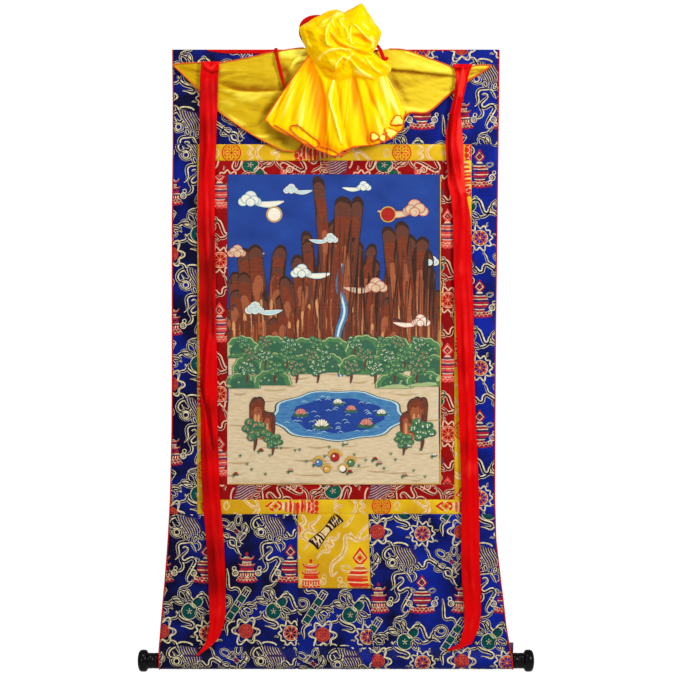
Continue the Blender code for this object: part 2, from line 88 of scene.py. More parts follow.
class Way(Enum):
    """How a brocade strip was cut: along the pattern, or turned a quarter."""

    UPRIGHT = 0
    TURNED = 1
    TURNED_BACK = 2


class Figure(Enum):
    """Figures of the brocades."""

    WHEEL = "wheel"
    COIN = "coin"
    ROSETTE = "rosette"
    LUTE = "lute"
    DRUM = "drum"
    STRIPED_DRUM = "striped drum"
    VASE = "vase"
    TOWER = "tower"
    GOURD = "gourd"
    SCROLL = "scroll"


# --- Numbers and curves


def srgb(red: float, green: float, blue: float) -> Colour:
    """Turns a screen colour of 0 to 255 into a linear one.

    Args:
        red, green, blue: Screen values.

    Returns:
        The linear colour.
    """
    values = []
    for value in (red, green, blue):
        v = value / 255
        values.append(v / 12.92 if v <= 0.04045 else ((v + 0.055) / 1.055) ** 2.4)
    return tuple(values)


def fade(value: Numbers, start: float, end: float) -> Numbers:
    """0 below start, 1 above end, and smooth between."""
    t = np.clip((np.asarray(value, dtype=float) - start) / (end - start), 0, 1)
    return t * t * (3 - 2 * t)


def bump(value: Numbers, middle: float, width: float) -> Numbers:
    """A bell of height 1 at the middle."""
    return np.exp(-(((np.asarray(value, dtype=float) - middle) / width) ** 2))


def along(table: Rows, t: Numbers) -> Numbers:
    """A smooth curve through a table's rows.

    Args:
        table: The rows.
        t: Places from 0 to 1 along the rows.

    Returns:
        One row of values for each place.
    """
    rows = np.array(table, dtype=float)
    place = np.clip(np.asarray(t, dtype=float), 0, 1) * (len(rows) - 1)
    first = np.minimum(place.astype(int), len(rows) - 2)
    part = (place - first)[..., None]
    before, start = rows[np.maximum(first - 1, 0)], rows[first]
    end, after = rows[first + 1], rows[np.minimum(first + 2, len(rows) - 1)]
    return 0.5 * (
        2 * start + (end - before) * part + (
            2 * before - 5 * start + 4 * end - after
        ) * part**2 + (3 * start - before - 3 * end + after) * part**3
    )


def looked_up(table: Rows, value: Numbers, column: int) -> Numbers:
    """A table's column at values of its first column."""
    rows = np.array(table, dtype=float)
    return np.interp(value, rows[:, 0], rows[:, column])


def ripple(x: Numbers, y: Numbers, seed: int, size: float, terms: int = 6) -> Numbers:
    """A smooth uneven field about -1 to 1, made of a few waves with seeded directions.

    Args:
        x, y: Places.
        seed: Seed of the directions.
        size: Typical distance between crests.
        terms: Number of waves.

    Returns:
        The field's values.
    """
    random = np.random.default_rng(seed)
    total = np.zeros(np.broadcast(x, y).shape)
    for _ in range(terms):
        angle, phase = random.uniform(0, pi), random.uniform(0, 6.28)
        wave = 2 * pi / (size * random.uniform(0.7, 1.5))
        total += np.sin((x * cos(angle) + y * sin(angle)) * wave + phase)
    return total / sqrt(terms)


def joined(*values: Numbers) -> Numbers:
    """Rows of points from their separate values."""
    return np.stack(np.broadcast_arrays(*values), axis=-1)


def shares(count: int) -> Numbers:
    """Even places from 0 to 1."""
    return np.linspace(0, 1, count)


def sideways(points: Numbers) -> Numbers:
    """The unit way to the side of a flat line, at each of its points."""
    way = np.gradient(points, axis=0)
    way /= np.maximum(np.linalg.norm(way, axis=1)[:, None], 1e-9)
    return joined(-way[:, 1], way[:, 0])


def strip(first: Numbers, step: int) -> Numbers:
    """Triangles between two rows of points: the first row's numbers, and the step to the next row."""
    a, b = first, first + step
    return np.concatenate([joined(a, a + 1, b + 1), joined(a, b + 1, b)])


def twice_area(x: Numbers, y: Numbers, faces: Numbers) -> Numbers:
    """Twice the signed area of flat triangles."""
    p, q, r = (joined(x, y)[faces[:, i]] for i in range(3))
    return (q[:, 0] - p[:, 0]) * (r[:, 1] - p[:, 1]) - (q[:, 1] - p[:, 1]) * (r[:, 0] - p[:, 0])


def spaced(start: float, end: float, step: float, edge: Sequence[float] = (0.7, 1.8, 4.0)) -> Numbers:
    """Grid lines from start to end, closer together at both ends for the sewn edge.

    Args:
        start, end, step: Of the even part of the grid.
        edge: Distances of the closer lines from each end.

    Returns:
        The lines' places.
    """
    inner = np.linspace(start + edge[-1], end - edge[-1], max(2, int((end - start) / step)) + 1)
    head = [start] + [start + e for e in edge[:-1]]
    tail = [end - e for e in reversed(edge[:-1])] + [end]
    return np.concatenate([head, inner, tail])


# --- Meshes


def world(points: Numbers) -> Numbers:
    """Places of x, depth and drop as places of the row frame, in metres."""
    return np.asarray(points) * (MM, -MM, -MM)


def make_object(
    name: str, places: Numbers, faces: Sequence[Sequence[int]], looks: Sequence[Material],
    uv: Optional[Numbers] = None, slots: Optional[Sequence[int]] = None, smooth: bool = True
) -> Object:
    """A mesh object at the origin with its place in its mesh.

    Args:
        name: The piece's name.
        places: Vertex places in metres.
        faces: Vertex numbers of each face.
        looks: Materials.
        uv: Flat cloth place of each vertex, in metres.
        slots: Material number of each face.
        smooth: Whether the faces are shaded smooth.

    Returns:
        The object, linked to the scene.
    """
    mesh = bpy.data.meshes.new(name)
    mesh.from_pydata(np.asarray(places).reshape(-1, 3).tolist(), [], [list(f) for f in faces])
    if uv is not None:
        layer = mesh.uv_layers.new(name="flat")
        index = np.zeros(len(mesh.loops), dtype=np.int32)
        mesh.loops.foreach_get("vertex_index", index)
        layer.data.foreach_set("uv", np.asarray(uv, dtype=float).reshape(-1, 2)[index].ravel())
    for look in looks:
        mesh.materials.append(look)
    if slots is not None:
        mesh.polygons.foreach_set("material_index", np.asarray(slots, dtype=np.int32))
    mesh.polygons.foreach_set("use_smooth", np.full(len(mesh.polygons), smooth))
    mesh.validate()
    mesh.update()
    made = bpy.data.objects.new(name, mesh)
    bpy.context.scene.collection.objects.link(made)
    return made


def cloth_body(
    name: str, points: Numbers, flat: Numbers, thickness: float, looks: Sequence[Material],
    folds: Optional[Numbers] = None
) -> Object:
    """A closed sheet of cloth of even thickness through a grid of points.

    Args:
        name: The piece's name.
        points: Rows by columns of x, depth and drop of the cloth's middle.
        flat: Rows by columns of the flat cloth place, in millimetres.
        thickness: Of the cloth.
        looks: Material of the front, and of the back if it differs.
        folds: Fold value of each point, 0 in a valley and 1 on a ridge, by which the finish paints shade and
            highlights.

    Returns:
        The object.
    """
    middle = world(points)
    normal = np.cross(np.gradient(middle, axis=0), np.gradient(middle, axis=1))
    normal = normal / np.maximum(np.linalg.norm(normal, axis=-1, keepdims=True), 1e-12)
    places = np.concatenate(
        [(middle + side * normal * thickness * MM / 2).reshape(-1, 3) for side in (1, -1)]
    )
    count = points.shape[0] * points.shape[1]
    number = np.arange(count).reshape(points.shape[:2])
    a, b, c, d = number[:-1, :-1], number[:-1, 1:], number[1:, 1:], number[1:, :-1]
    rim = np.concatenate([number[0, :], number[1:, -1], number[-1, -2::-1], number[-2:0:-1, 0]])
    following = np.roll(rim, -1)
    sides = (
        joined(a, d, c, b), joined(a, b, c, d) + count, joined(rim, following, following + count, rim + count)
    )
    faces = np.concatenate([side.reshape(-1, 4) for side in sides])
    slots = np.zeros(len(faces), dtype=int)
    if len(looks) > 1:
        slots[a.size : 2 * a.size] = 1
    made = make_object(name, places, faces.tolist(), looks, np.tile(flat.reshape(-1, 2), (2, 1)) * MM, slots)
    if folds is not None:
        made.data.attributes.new("fold", "FLOAT", "POINT").data.foreach_set(
            "value", np.tile(folds.ravel(), 2)
        )
    return made


def sheet_area(points: Numbers) -> float:
    """Area of a grid of points in square metres."""
    middle = world(points)
    p, q = middle[1:, 1:] - middle[:-1, :-1], middle[1:, :-1] - middle[:-1, 1:]
    return float(np.linalg.norm(np.cross(p, q), axis=-1).sum() / 2)


def new_tree(name: str, inputs: Dict[str, object], outputs: Sequence[str] = ()) -> Tuple["Wiring", Sequence]:
    """A node group with named sockets: of a shader if it names its outputs, else of geometry.

    Args:
        name: The group's name.
        inputs: Default of each input, or its kind in a word where it has none.
        outputs: Names of a shader group's outputs.

    Returns:
        The wiring of the group, and its inputs as seen from inside.
    """
    tree = bpy.data.node_groups.new(name, "ShaderNodeTree" if outputs else "GeometryNodeTree")
    for label, value in inputs.items():
        kind = value if isinstance(value, str) else type(value).__name__.title()
        made = tree.interface.new_socket(label, in_out="INPUT", socket_type=f"NodeSocket{kind}")
        if not isinstance(value, str):
            made.default_value = value
    for label in outputs or ["Geometry"]:
        kind = "Float" if outputs else label
        tree.interface.new_socket(label, in_out="OUTPUT", socket_type=f"NodeSocket{kind}")
    given = tree.nodes.new("NodeGroupInput")
    tree.nodes.new("NodeGroupOutput").name = "Out"
    return Wiring(tree), given.outputs


def grown(host: Object, tree: NodeTree, values: Dict[str, object]) -> Mesh:
    """The plain mesh that a geometry tree makes of an object, which is then removed.

    Args:
        host: The object that carries the modifier.
        tree: The geometry tree.
        values: The modifier's inputs by their names.

    Returns:
        The mesh.
    """
    modifier = host.modifiers.new("grow", "NODES")
    modifier.node_group = tree
    for item in tree.interface.items_tree:
        if item.item_type == "SOCKET" and item.in_out == "INPUT" and item.name in values:
            modifier[item.identifier] = values[item.name]
    host.update_tag()
    graph = bpy.context.evaluated_depsgraph_get()
    mesh = bpy.data.meshes.new_from_object(host.evaluated_get(graph), depsgraph=graph)
    bpy.data.objects.remove(host, do_unlink=True)
    return mesh


def triangles_of(mesh: Mesh) -> Arrays:
    """Vertex places and triangles of a mesh."""
    mesh.calc_loop_triangles()
    places = np.zeros(len(mesh.vertices) * 3)
    mesh.vertices.foreach_get("co", places)
    faces = np.zeros(len(mesh.loop_triangles) * 3, dtype=np.int32)
    mesh.loop_triangles.foreach_get("vertices", faces)
    return places.reshape(-1, 3), faces.reshape(-1, 3)


def as_piece(piece: Object, slot: str, replaces: Sequence[str] = ()) -> Object:
    """Lets a piece ride on the part and stand for its CAD nodes.

    Args:
        piece: The object.
        slot: Not used.
        replaces: CAD nodes that it stands for.

    Returns:
        The piece.
    """
    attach(piece, "root")
    if replaces:
        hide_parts(*replaces)
    LOG.info("%s: %d faces", piece.name, len(piece.data.polygons))
    return piece


# --- Shader groups and finishes


class Wiring:
    """Adds nodes to one tree and joins them by their inputs."""

    def __init__(self, tree: NodeTree, look: Optional[Material] = None) -> None:
        """Keeps the tree, and the material that it belongs to."""
        self.tree, self.look = tree, look

    def add(self, kind: str, inputs: Dict[object, object], **settings: object) -> Node:
        """Adds one node.

        Args:
            kind: The node's type.
            inputs: Values, or outputs to join, by the input's name or number.
            **settings: The node's own settings.

        Returns:
            The node.
        """
        node = self.tree.nodes.new(kind)
        for name, value in settings.items():
            setattr(node, name, value)
        for key, value in inputs.items():
            if isinstance(value, NodeSocket):
                self.tree.links.new(value, node.inputs[key])
            else:
                node.inputs[key].default_value = value
        return node

    def math(self, operation: str, *values: object, clamp: bool = False) -> NodeSocket:
        """The result of a math node."""
        return self.add(
            "ShaderNodeMath", dict(enumerate(values)), operation=operation, use_clamp=clamp
        ).outputs[0]

    def mix(self, factor: object, first: object, second: object, blend: str = "MIX") -> NodeSocket:
        """The result of a colour mix.

        Args:
            factor: How much of the second.
            first, second: Linear colours or sockets.
            blend: The way of mixing.

        Returns:
            The mixed colour.
        """
        first, second = ((*c, 1) if isinstance(c, tuple) else c for c in (first, second))
        inputs = {0: factor, 6: first, 7: second}
        return self.add("ShaderNodeMix", inputs, data_type="RGBA", blend_type=blend).outputs[2]

    def spread(self, value: object, low: float, high: float, **ends: float) -> NodeSocket:
        """A value spread from low to high."""
        inputs = {"Value": value, "To Min": low, "To Max": high}
        inputs.update({name.replace("_", " ").title(): end for name, end in ends.items()})
        return self.add("ShaderNodeMapRange", inputs).outputs[0]

    def noise(self, vector: object, scale: object, detail: float = 2.0) -> NodeSocket:
        """A noise value."""
        inputs = {"Vector": vector, "Scale": scale, "Detail": detail}
        return self.add("ShaderNodeTexNoise", inputs).outputs["Fac"]

    def send(self, **outputs: NodeSocket) -> NodeTree:
        """Joins sockets to the group's outputs, which ends the group."""
        for name, socket in outputs.items():
            self.tree.links.new(socket, self.tree.nodes["Out"].inputs[name])
        return self.tree

    def finish(self, geometry: NodeSocket, look: NodeSocket) -> NodeTree:
        """Realizes what a geometry tree has laid, sets its material and ends the tree."""
        real = self.add("GeometryNodeRealizeInstances", {0: geometry}).outputs[0]
        return self.send(Geometry=self.add("GeometryNodeSetMaterial", {0: real, "Material": look}).outputs[0])

    def group(self, tree: NodeTree, place: NodeSocket, **values: float) -> Sequence:
        """Adds a shader group at a place, with values by their lower-case names; gives its outputs."""
        inputs = {name.replace("_", " ").title(): value for name, value in values.items()}
        return self.add("ShaderNodeGroup", {"Vector": place, **inputs}, node_tree=tree).outputs

    def surface(
        self, colour: NodeSocket, rough: NodeSocket, relief: Tuple[float, float, NodeSocket], **values: object
    ) -> Material:
        """Joins a finish to the material's shader.

        Args:
            colour, rough: Sockets of its colour and roughness.
            relief: Depth and strength of its bumps, and the socket of their height.
            **values: The shader's other inputs by their lower-case names.

        Returns:
            The material.
        """
        shader = self.tree.nodes["Principled BSDF"]
        bumps = self.add("ShaderNodeBump", dict(zip(("Distance", "Strength", "Height"), relief))).outputs[0]
        for name, socket in {"Base Color": colour, "Roughness": rough, "Normal": bumps}.items():
            self.tree.links.new(socket, shader.inputs[name])
        for name, value in values.items():
            shader.inputs[name.replace("_", " ").title().replace("Ior", "IOR")].default_value = value
        return self.look


class ShaderKit:
    """Shader node groups that the cloths, threads and lacquer share, each built once."""

    def __init__(self) -> None:
        """Builds the groups."""
        self.weave = self._weave()
        self.patches = self._patches()
        self.brush = self._brush()

    @staticmethod
    def _weave() -> NodeTree:
        """Warp and weft threads: a height for bumps, and a small light and dark change."""
        inputs = {"Vector": "Vector", "Threads Per Metre": 1200.0, "Turn": 0.0, "Slub": 0.4, "Crumple": 0.0}
        w, given = new_tree("thread weave", inputs, ("Height", "Change"))
        axes = {"Vector": given["Vector"], "Angle": given["Turn"]}
        turned = w.add("ShaderNodeVectorRotate", axes, rotation_type="Z_AXIS").outputs[0]
        scale = {0: turned, "Scale": given["Threads Per Metre"]}
        scaled = w.add("ShaderNodeVectorMath", scale, operation="SCALE").outputs[0]
        wave = {"Vector": scaled, "Scale": 0.32, "Distortion": 0.6, "Detail": 1.0}
        warp, weft = (w.add("ShaderNodeTexWave", wave, bands_direction=d).outputs["Fac"] for d in "XY")
        both = w.math("MULTIPLY_ADD", warp, 0.7, weft)
        uneven = w.math("MULTIPLY_ADD", w.noise(scaled, 0.05, 3.0), given["Slub"], both)
        height = w.math("MULTIPLY_ADD", w.noise(given["Vector"], 21.0, 3.0), given["Crumple"], uneven)
        return w.send(Height=height, Change=w.spread(both, 0, 1, from_max=1.7))

    @staticmethod
    def _patches() -> NodeTree:
        """Soft large patches of uneven dyeing, painted sheen and handling, which may drift across the cloth:
        painted light to the right and painted shade down it.
        """
        inputs = {"Vector": "Vector", "Size": 12.0, "Contrast": 1.6, "Drift": 0.0, "Fall": 0.0}
        w, given = new_tree("uneven patches", inputs, ("Mask", "Fine"))
        centred = w.math("SUBTRACT", w.noise(given["Vector"], given["Size"], 4.0), 0.5)
        part = w.add("ShaderNodeSeparateXYZ", {0: given["Vector"]}).outputs
        # Painted light that grows to the right, and painted shade that grows down the cloth.
        even = w.math("MULTIPLY_ADD", part["X"], given["Drift"], 0.5)
        even = w.math("SUBTRACT", even, w.math("MULTIPLY", part["Y"], given["Fall"]))
        mask = w.math("MAXIMUM", w.math("MULTIPLY_ADD", centred, given["Contrast"], even), 0.0, clamp=True)
        return w.send(Mask=mask, Fine=w.noise(given["Vector"], 900.0))

    @staticmethod
    def _brush() -> NodeTree:
        """Brush strokes and pigment grain of the painting."""
        inputs = {"Vector": "Vector", "Size": 60.0, "Stretch": 5.0}
        w, given = new_tree("brush strokes", inputs, ("Mask", "Height"))
        long = w.add("ShaderNodeCombineXYZ", {"X": 1.0, "Y": given["Stretch"], "Z": 1.0}).outputs[0]
        place = w.add("ShaderNodeVectorMath", {0: given["Vector"], 1: long}, operation="MULTIPLY").outputs[0]
        stroke = w.noise(place, given["Size"], 5.0)
        mask = w.spread(stroke, 0, 1, from_min=0.3, from_max=0.7)
        return w.send(Mask=mask, Height=w.math("ADD", stroke, w.noise(given["Vector"], 1400.0)))


def new_look(name: str) -> Wiring:
    """The wiring of an empty material."""
    look = bpy.data.materials.new(name)
    look.use_nodes = True
    return Wiring(look.node_tree, look)


@dataclass(frozen=True)
class ClothFinish:
    """A woven finish that reads the piece's flat cloth map.

    Attributes:
        name: The material's name.
        shade, other: Main screen colour, and that of its uneven patches, which are partly uneven dyeing and
            partly painted sheen.
        patch_size, contrast: Patches a metre, and their sharpness.
        drift, fall: How the patches grow to the right, as painted light, and shrink down the cloth, as
            painted shade.
        threads, turn, thread_change: Threads a metre, their turn, and how much they change the colour.
        roughness, specular, anisotropy: Of the surface.
        bump, crumple: Depth of the threads in metres, and of soft creases in threads' depths.
        deep, bright: Colours of painted shade in the valleys and of painted highlights on the ridges of
            gathered cloth, by its fold value.
        glow: Painted light that the cloth gives off with no lamp behind it, standing in for light that thin
            cloth lets through.
    """

    name: str
    shade: Colour
    other: Colour
    patch_size: float = 12.0
    contrast: float = 1.6
    drift: float = 0.0
    fall: float = 0.0
    threads: float = 1200.0
    turn: float = 0.0
    thread_change: float = 0.18
    roughness: float = 0.5
    specular: float = 0.3
    anisotropy: float = 0.0
    bump: float = 0.00012
    crumple: float = 0.0
    deep: Optional[Colour] = None
    bright: Optional[Colour] = None
    glow: float = 0.0

    def build(self, kit: ShaderKit) -> Material:
        """The finish as a material.

        Args:
            kit: Shader groups.

        Returns:
            The material.
        """
        w = new_look(self.name)
        place = w.add("ShaderNodeUVMap", {}, uv_map="flat").outputs[0]
        weave = w.group(
            kit.weave, place, threads_per_metre=self.threads, turn=self.turn, crumple=self.crumple
        )
        patches = w.group(
            kit.patches, place, size=self.patch_size, contrast=self.contrast, drift=self.drift, fall=self.fall
        )
        dye_and_painted_light = w.mix(patches["Mask"], srgb(*self.shade), srgb(*self.other))
        # Painted shade in the valleys and painted highlights on the ridges, picked by the fold value.
        if self.deep and self.bright:
            fold = w.add("ShaderNodeAttribute", {}, attribute_name="fold").outputs["Fac"]
            dye_and_painted_light = w.mix(w.spread(fold, 1, 0, from_max=0.42), dye_and_painted_light, srgb(*self.deep))
            dye_and_painted_light = w.mix(w.spread(fold, 0, 1, from_min=0.62), dye_and_painted_light, srgb(*self.bright))
        tint = w.spread(weave["Change"], 1 - self.thread_change, 1 + self.thread_change / 2)
        rough = w.spread(patches["Fine"], max(0.05, self.roughness - 0.08), min(1.0, self.roughness + 0.08))
        return w.surface(
            w.mix(1.0, dye_and_painted_light, tint, "MULTIPLY"), rough, (self.bump, 0.8, weave["Height"]),
            specular_ior_level=self.specular, anisotropic=self.anisotropy,
            # Painted light: the cloth gives off its own colour as if lit through.
            emission_color=(*srgb(*self.shade), 1), emission_strength=self.glow
        )


@dataclass(frozen=True)
class PaintFinish:
    """A pigment finish of the painting: two shades brushed into each other."""

    name: str
    shade: Colour
    other: Colour
    size: float = 60.0
    stretch: float = 4.0
    roughness: float = 0.8

    def build(self, kit: ShaderKit) -> Material:
        """The finish as a material.

        Args:
            kit: Shader groups.

        Returns:
            The material.
        """
        w = new_look(self.name)
        place = w.add("ShaderNodeUVMap", {}, uv_map="flat").outputs[0]
        brush = w.group(kit.brush, place, size=self.size, stretch=self.stretch)
        rough = w.spread(brush["Mask"], self.roughness - 0.1, min(1.0, self.roughness + 0.1))
        return w.surface(
            w.mix(brush["Mask"], srgb(*self.shade), srgb(*self.other)), rough, (0.0001, 0.6, brush["Height"]),
            specular_ior_level=0.15
        )


@dataclass(frozen=True)
class HardFinish:
    """Lacquer or wood on Object coordinates: a colour with a fine grain and uneven gloss."""

    name: str
    shade: Colour
    other: Colour
    roughness: float = 0.25
    coat: float = 0.6
    specular: float = 0.4
    grain: Tuple[float, float, float] = (1.0, 1.0, 1.0)
    size: float = 90.0

    def build(self, kit: ShaderKit) -> Material:
        """The finish as a material.

        Args:
            kit: Shader groups.

        Returns:
            The material.
        """
        w = new_look(self.name)
        place = w.add("ShaderNodeTexCoord", {}).outputs["Object"]
        grain = w.add("ShaderNodeMapping", {"Vector": place, "Scale": self.grain}).outputs[0]
        mask = w.group(kit.patches, grain, size=self.size)["Mask"]
        rough = w.spread(mask, self.roughness * 0.75, self.roughness * 1.3)
        return w.surface(
            w.mix(mask, srgb(*self.shade), srgb(*self.other)), rough, (0.0002, 0.25, mask),
            coat_weight=self.coat, specular_ior_level=self.specular, coat_roughness=0.08
        )


GROUND = ClothFinish("brocade ground", (0, 0, 0), (0, 0, 0), threads=1100.0, turn=0.5, anisotropy=0.3)
REVERSE = ClothFinish("brocade reverse", (0, 0, 0), (0, 0, 0), patch_size=60.0, threads=700.0, roughness=0.75)
FIGURE = ClothFinish(
    "figure thread", (0, 0, 0), (0, 0, 0), patch_size=130.0, contrast=3.2, threads=900.0, turn=0.9,
    thread_change=0.22, roughness=0.48, specular=0.06
)


@dataclass(frozen=True)
class Colourway:
    """One brocade's ground and reverse, and the two shades of each figure thread in the threads' order."""

    name: str
    ground: ClothFinish
    reverse: ClothFinish
    threads: Tuple[Tuple[Colour, Colour], ...]

    @property
    def slot(self) -> str:
        """Name of the cloth's slot."""
        return self.name.replace(" ", "_")

    def look(self, kit: ShaderKit, finish: ClothFinish, what: str) -> Material:
        """The material of the ground or the reverse."""
        return replace(finish, name=f"{self.name} {what}").build(kit)

    def thread_look(self, thread: Thread, kit: ShaderKit) -> Material:
        """The material of one figure thread."""
        shade, other = self.threads[list(Thread).index(thread)]
        return self.look(kit, replace(FIGURE, shade=shade, other=other), f"{thread.value} thread")


BLUE_BROCADE = Colourway(
    "blue brocade",
    # Painted light: the bright blue patches are painted sheen, growing to the right and thinning down the
    # cloth as painted shade.
    replace(
        GROUND, shade=(6, 6, 44), other=(10, 34, 150), patch_size=13.0, contrast=2.6, drift=0.8, fall=0.12,
        roughness=0.34, specular=0.07, anisotropy=0.4, crumple=9.0),
    replace(REVERSE, shade=(30, 34, 92), other=(96, 88, 96), contrast=2.0),
    (
        ((238, 226, 180), (182, 164, 118)), ((182, 26, 42), (132, 18, 48)), ((2, 78, 72), (6, 54, 60)),
        ((204, 90, 52), (160, 58, 44)), ((68, 44, 88), (40, 28, 76)), ((10, 10, 50), (14, 14, 74)))
)
YELLOW_BROCADE = Colourway(
    "yellow brocade",
    # Painted light and shade: the ground is lighter to the right and darker down the cloth.
    replace(
        GROUND, shade=(206, 154, 12), other=(240, 202, 26), patch_size=13.0, contrast=2.8, drift=0.3,
        fall=0.25, roughness=0.42, specular=0.1),
    replace(REVERSE, shade=(196, 160, 70), other=(220, 190, 120)),
    (
        ((240, 212, 164), (220, 180, 116)), ((222, 50, 30), (200, 30, 22)), ((26, 20, 30), (40, 28, 34)),
        ((228, 96, 40), (214, 76, 36)), ((214, 96, 50), (196, 80, 48)), ((214, 160, 20), (204, 148, 16)))
)
RED_BROCADE = Colourway(
    "red brocade",
    replace(
        GROUND, shade=(124, 4, 6), other=(168, 10, 12), patch_size=20.0, contrast=2.2, roughness=0.45,
        specular=0.06), replace(REVERSE, shade=(130, 40, 40), other=(150, 90, 80)),
    (
        ((232, 196, 160), (214, 168, 140)), ((226, 80, 70), (206, 60, 60)), ((14, 96, 74), (10, 74, 62)),
        ((220, 96, 60), (200, 76, 54)), ((112, 62, 92), (92, 44, 78)), ((112, 10, 24), (96, 8, 22)))
)

# Painted shade in the satin's valleys and painted highlights on its ridges.
SATIN = ClothFinish(
    "red satin", (222, 3, 6), (198, 0, 2), patch_size=7.0, threads=2400.0, thread_change=0.05, roughness=0.34,
    specular=0.05, anisotropy=0.5, bump=0.00003, deep=(140, 0, 0), bright=(248, 46, 36)
)
TAPE = ClothFinish("red tape", (214, 6, 6), (190, 2, 4), threads=1500.0, roughness=0.55, specular=0.06)
CORDING = ClothFinish(
    "red piping cord", (214, 30, 24), (186, 14, 16), threads=900.0, turn=0.8, roughness=0.6, specular=0.08,
    bump=0.0002
)
# Orange painted shade in the silk's valleys, painted highlights on its ridges, and painted light given off as
# if lit through.
SILK = ClothFinish(
    "yellow silk", (255, 212, 2), (254, 194, 0), patch_size=9.0, threads=2600.0, thread_change=0.04,
    roughness=0.3, specular=0.03, bump=0.00003, deep=(242, 132, 0), bright=(255, 250, 124), glow=0.1
)
# Painted light and shade: the single layer is darker on the left and lighter on the right, with painted shade
# and highlights by the fold value.
THIN_SILK = replace(
    SILK, name="yellow silk single layer", shade=(198, 158, 6), other=(232, 204, 42), contrast=0.9, drift=1.7,
    roughness=0.34, specular=0.05, deep=(150, 94, 0), bright=(255, 240, 84), glow=0.0
)
OVERLOCK = ClothFinish(
    "orange overlock thread", (255, 116, 34), (232, 76, 16), patch_size=400.0, threads=3000.0, roughness=0.6
)
CANVAS_BACK = ClothFinish(
    "bare canvas", (206, 190, 158), (190, 170, 134), patch_size=30.0, threads=800.0, roughness=0.85
)
LACQUER = HardFinish("black lacquer", (3, 3, 4), (8, 8, 9), coat=0.06, specular=0.12, roughness=0.26)
WOOD = HardFinish(
    "plain wood", (150, 108, 66), (112, 76, 44), roughness=0.55, coat=0.05, grain=(0.15, 1.0, 1.0), size=220.0
)


# --- The hung cloth that all panels share


@dataclass(frozen=True)
class HungCloth:
    """The mount's cloth as it hangs: its outline, its slack, and its way round the roller."""

    sides: Tuple[Tuple[float, float, float], ...] = (
        (0, -344, 348), (105, -343, 347), (212, -343, 345.5), (360, -345, 343.5), (592, -344.5, 340.5),
        (803, -345.5, 338.5), (950, -348.5, 338.5), (1035, -353.5, 341), (1119, -360, 350.5),
        (1162, -364, 356), (1214, -368.5, 362), (1267, -372.5, 371), (1310, -371.5, 376.5)
    )
    middle: Tuple[Tuple[float, float, float], ...] = (
        (980, -79, 70.5), (1058, -79, 72.5), (1136, -77.5, 75), (1310, -80, 78)
    )
    piping: float = 2.7
    roller_drop: float = 1290.0
    roller_depth: float = -4.0
    pocket_radius: float = 17.2
    pocket_start: float = 1260.0
    held_from: float = 1262.0
    bare_from: float = 1272.0
    thickness: float = 1.2

    def left(self, s: Numbers) -> Numbers:
        """The mount's left edge inside its piping."""
        return looked_up(self.sides, s, 1) + self.piping * (1 - fade(s, self.pocket_start, self.bare_from))

    def right(self, s: Numbers) -> Numbers:
        """The mount's right edge inside its piping."""
        return looked_up(self.sides, s, 2) - self.piping * (1 - fade(s, self.pocket_start, self.bare_from))

    def middle_left(self, s: Numbers) -> Numbers:
        """Left seam of the narrow middle piece."""
        return looked_up(self.middle, s, 1)

    def middle_right(self, s: Numbers) -> Numbers:
        """Right seam of the narrow middle piece."""
        return looked_up(self.middle, s, 2)

    def slack(self, x: Numbers, drop: Numbers) -> Numbers:
        """How far the cloth stands forward, with its broad waves and fine creases.

        Args:
            x, drop: Places.

        Returns:
            Depths in millimetres.
        """
        free = fade(drop, 40, 420) * (1 - fade(drop, 1120, 1250))
        wide = 2.4 * np.sin(x / 95 + drop / 310 + 0.8) + 1.5 * np.sin(drop / 88 - x / 260)
        flutes = 3.2 * np.sin(x / 44 + 0.5) * fade(drop, 930, 1080)
        edge = 2.5 * np.sin(drop / 61 + np.sign(x)) * fade(np.abs(x), 270, 345)
        fine = 0.28 * ripple(x, drop, 3, 46.0) + 0.12 * ripple(x, drop, 5, 19.0)
        board = fade(drop, 240, 275) * (1 - fade(drop, 905, 940)) * (1 - fade(np.abs(x), 215, 240))
        held = fade(drop, 2, 40) * (1 - fade(drop, 1235, self.held_from)) * (1 - board)
        return free * (3.5 + wide + flutes + edge) + held * fine

    def pocket(self) -> Numbers:
        """Path round the roller: run along the cloth, drop, depth, and the outward way's two parts."""
        stations = [(self.pocket_start, 0.0)]
        for turn in np.linspace(38, 322, 15):
            across, out = self.pocket_radius * cos(radians(turn)), self.pocket_radius * sin(radians(turn))
            stations.append((self.roller_drop - across, self.roller_depth + out))
        stations += [(self.pocket_start + 3, -3.2), (self.pocket_start - 9, -2.2)]
        path = along(stations, shares(120))
        step = np.linalg.norm(np.diff(path, axis=0), axis=1)
        run = self.pocket_start + np.concatenate([[0], np.cumsum(step)])
        return np.column_stack([run, path, sideways(path)])

    def end(self) -> float:
        """Length of the cloth from the top edge to its end behind the roller."""
        return float(self.pocket()[-1, 0])

    def place(self, x: Numbers, s: Numbers, lift: Numbers) -> Numbers:
        """Where a flat place of the cloth hangs.

        Args:
            x: From the middle.
            s: Down the cloth from its top edge.
            lift: Out from the cloth's middle.

        Returns:
            x, depth and drop along the last axis.
        """
        path, flat = self.pocket(), np.asarray(s) < self.pocket_start
        drop, depth, out_drop, out_depth = (
            np.where(flat, before, np.interp(s, path[:, 0], path[:, column + 1])) for column,
            before in enumerate((s, 0.0, 0.0, 1.0))
        )
        hanging = self.slack(x, np.minimum(s, self.held_from))
        return joined(x, depth + hanging + lift * out_depth, drop + lift * out_drop)


HUNG = HungCloth()


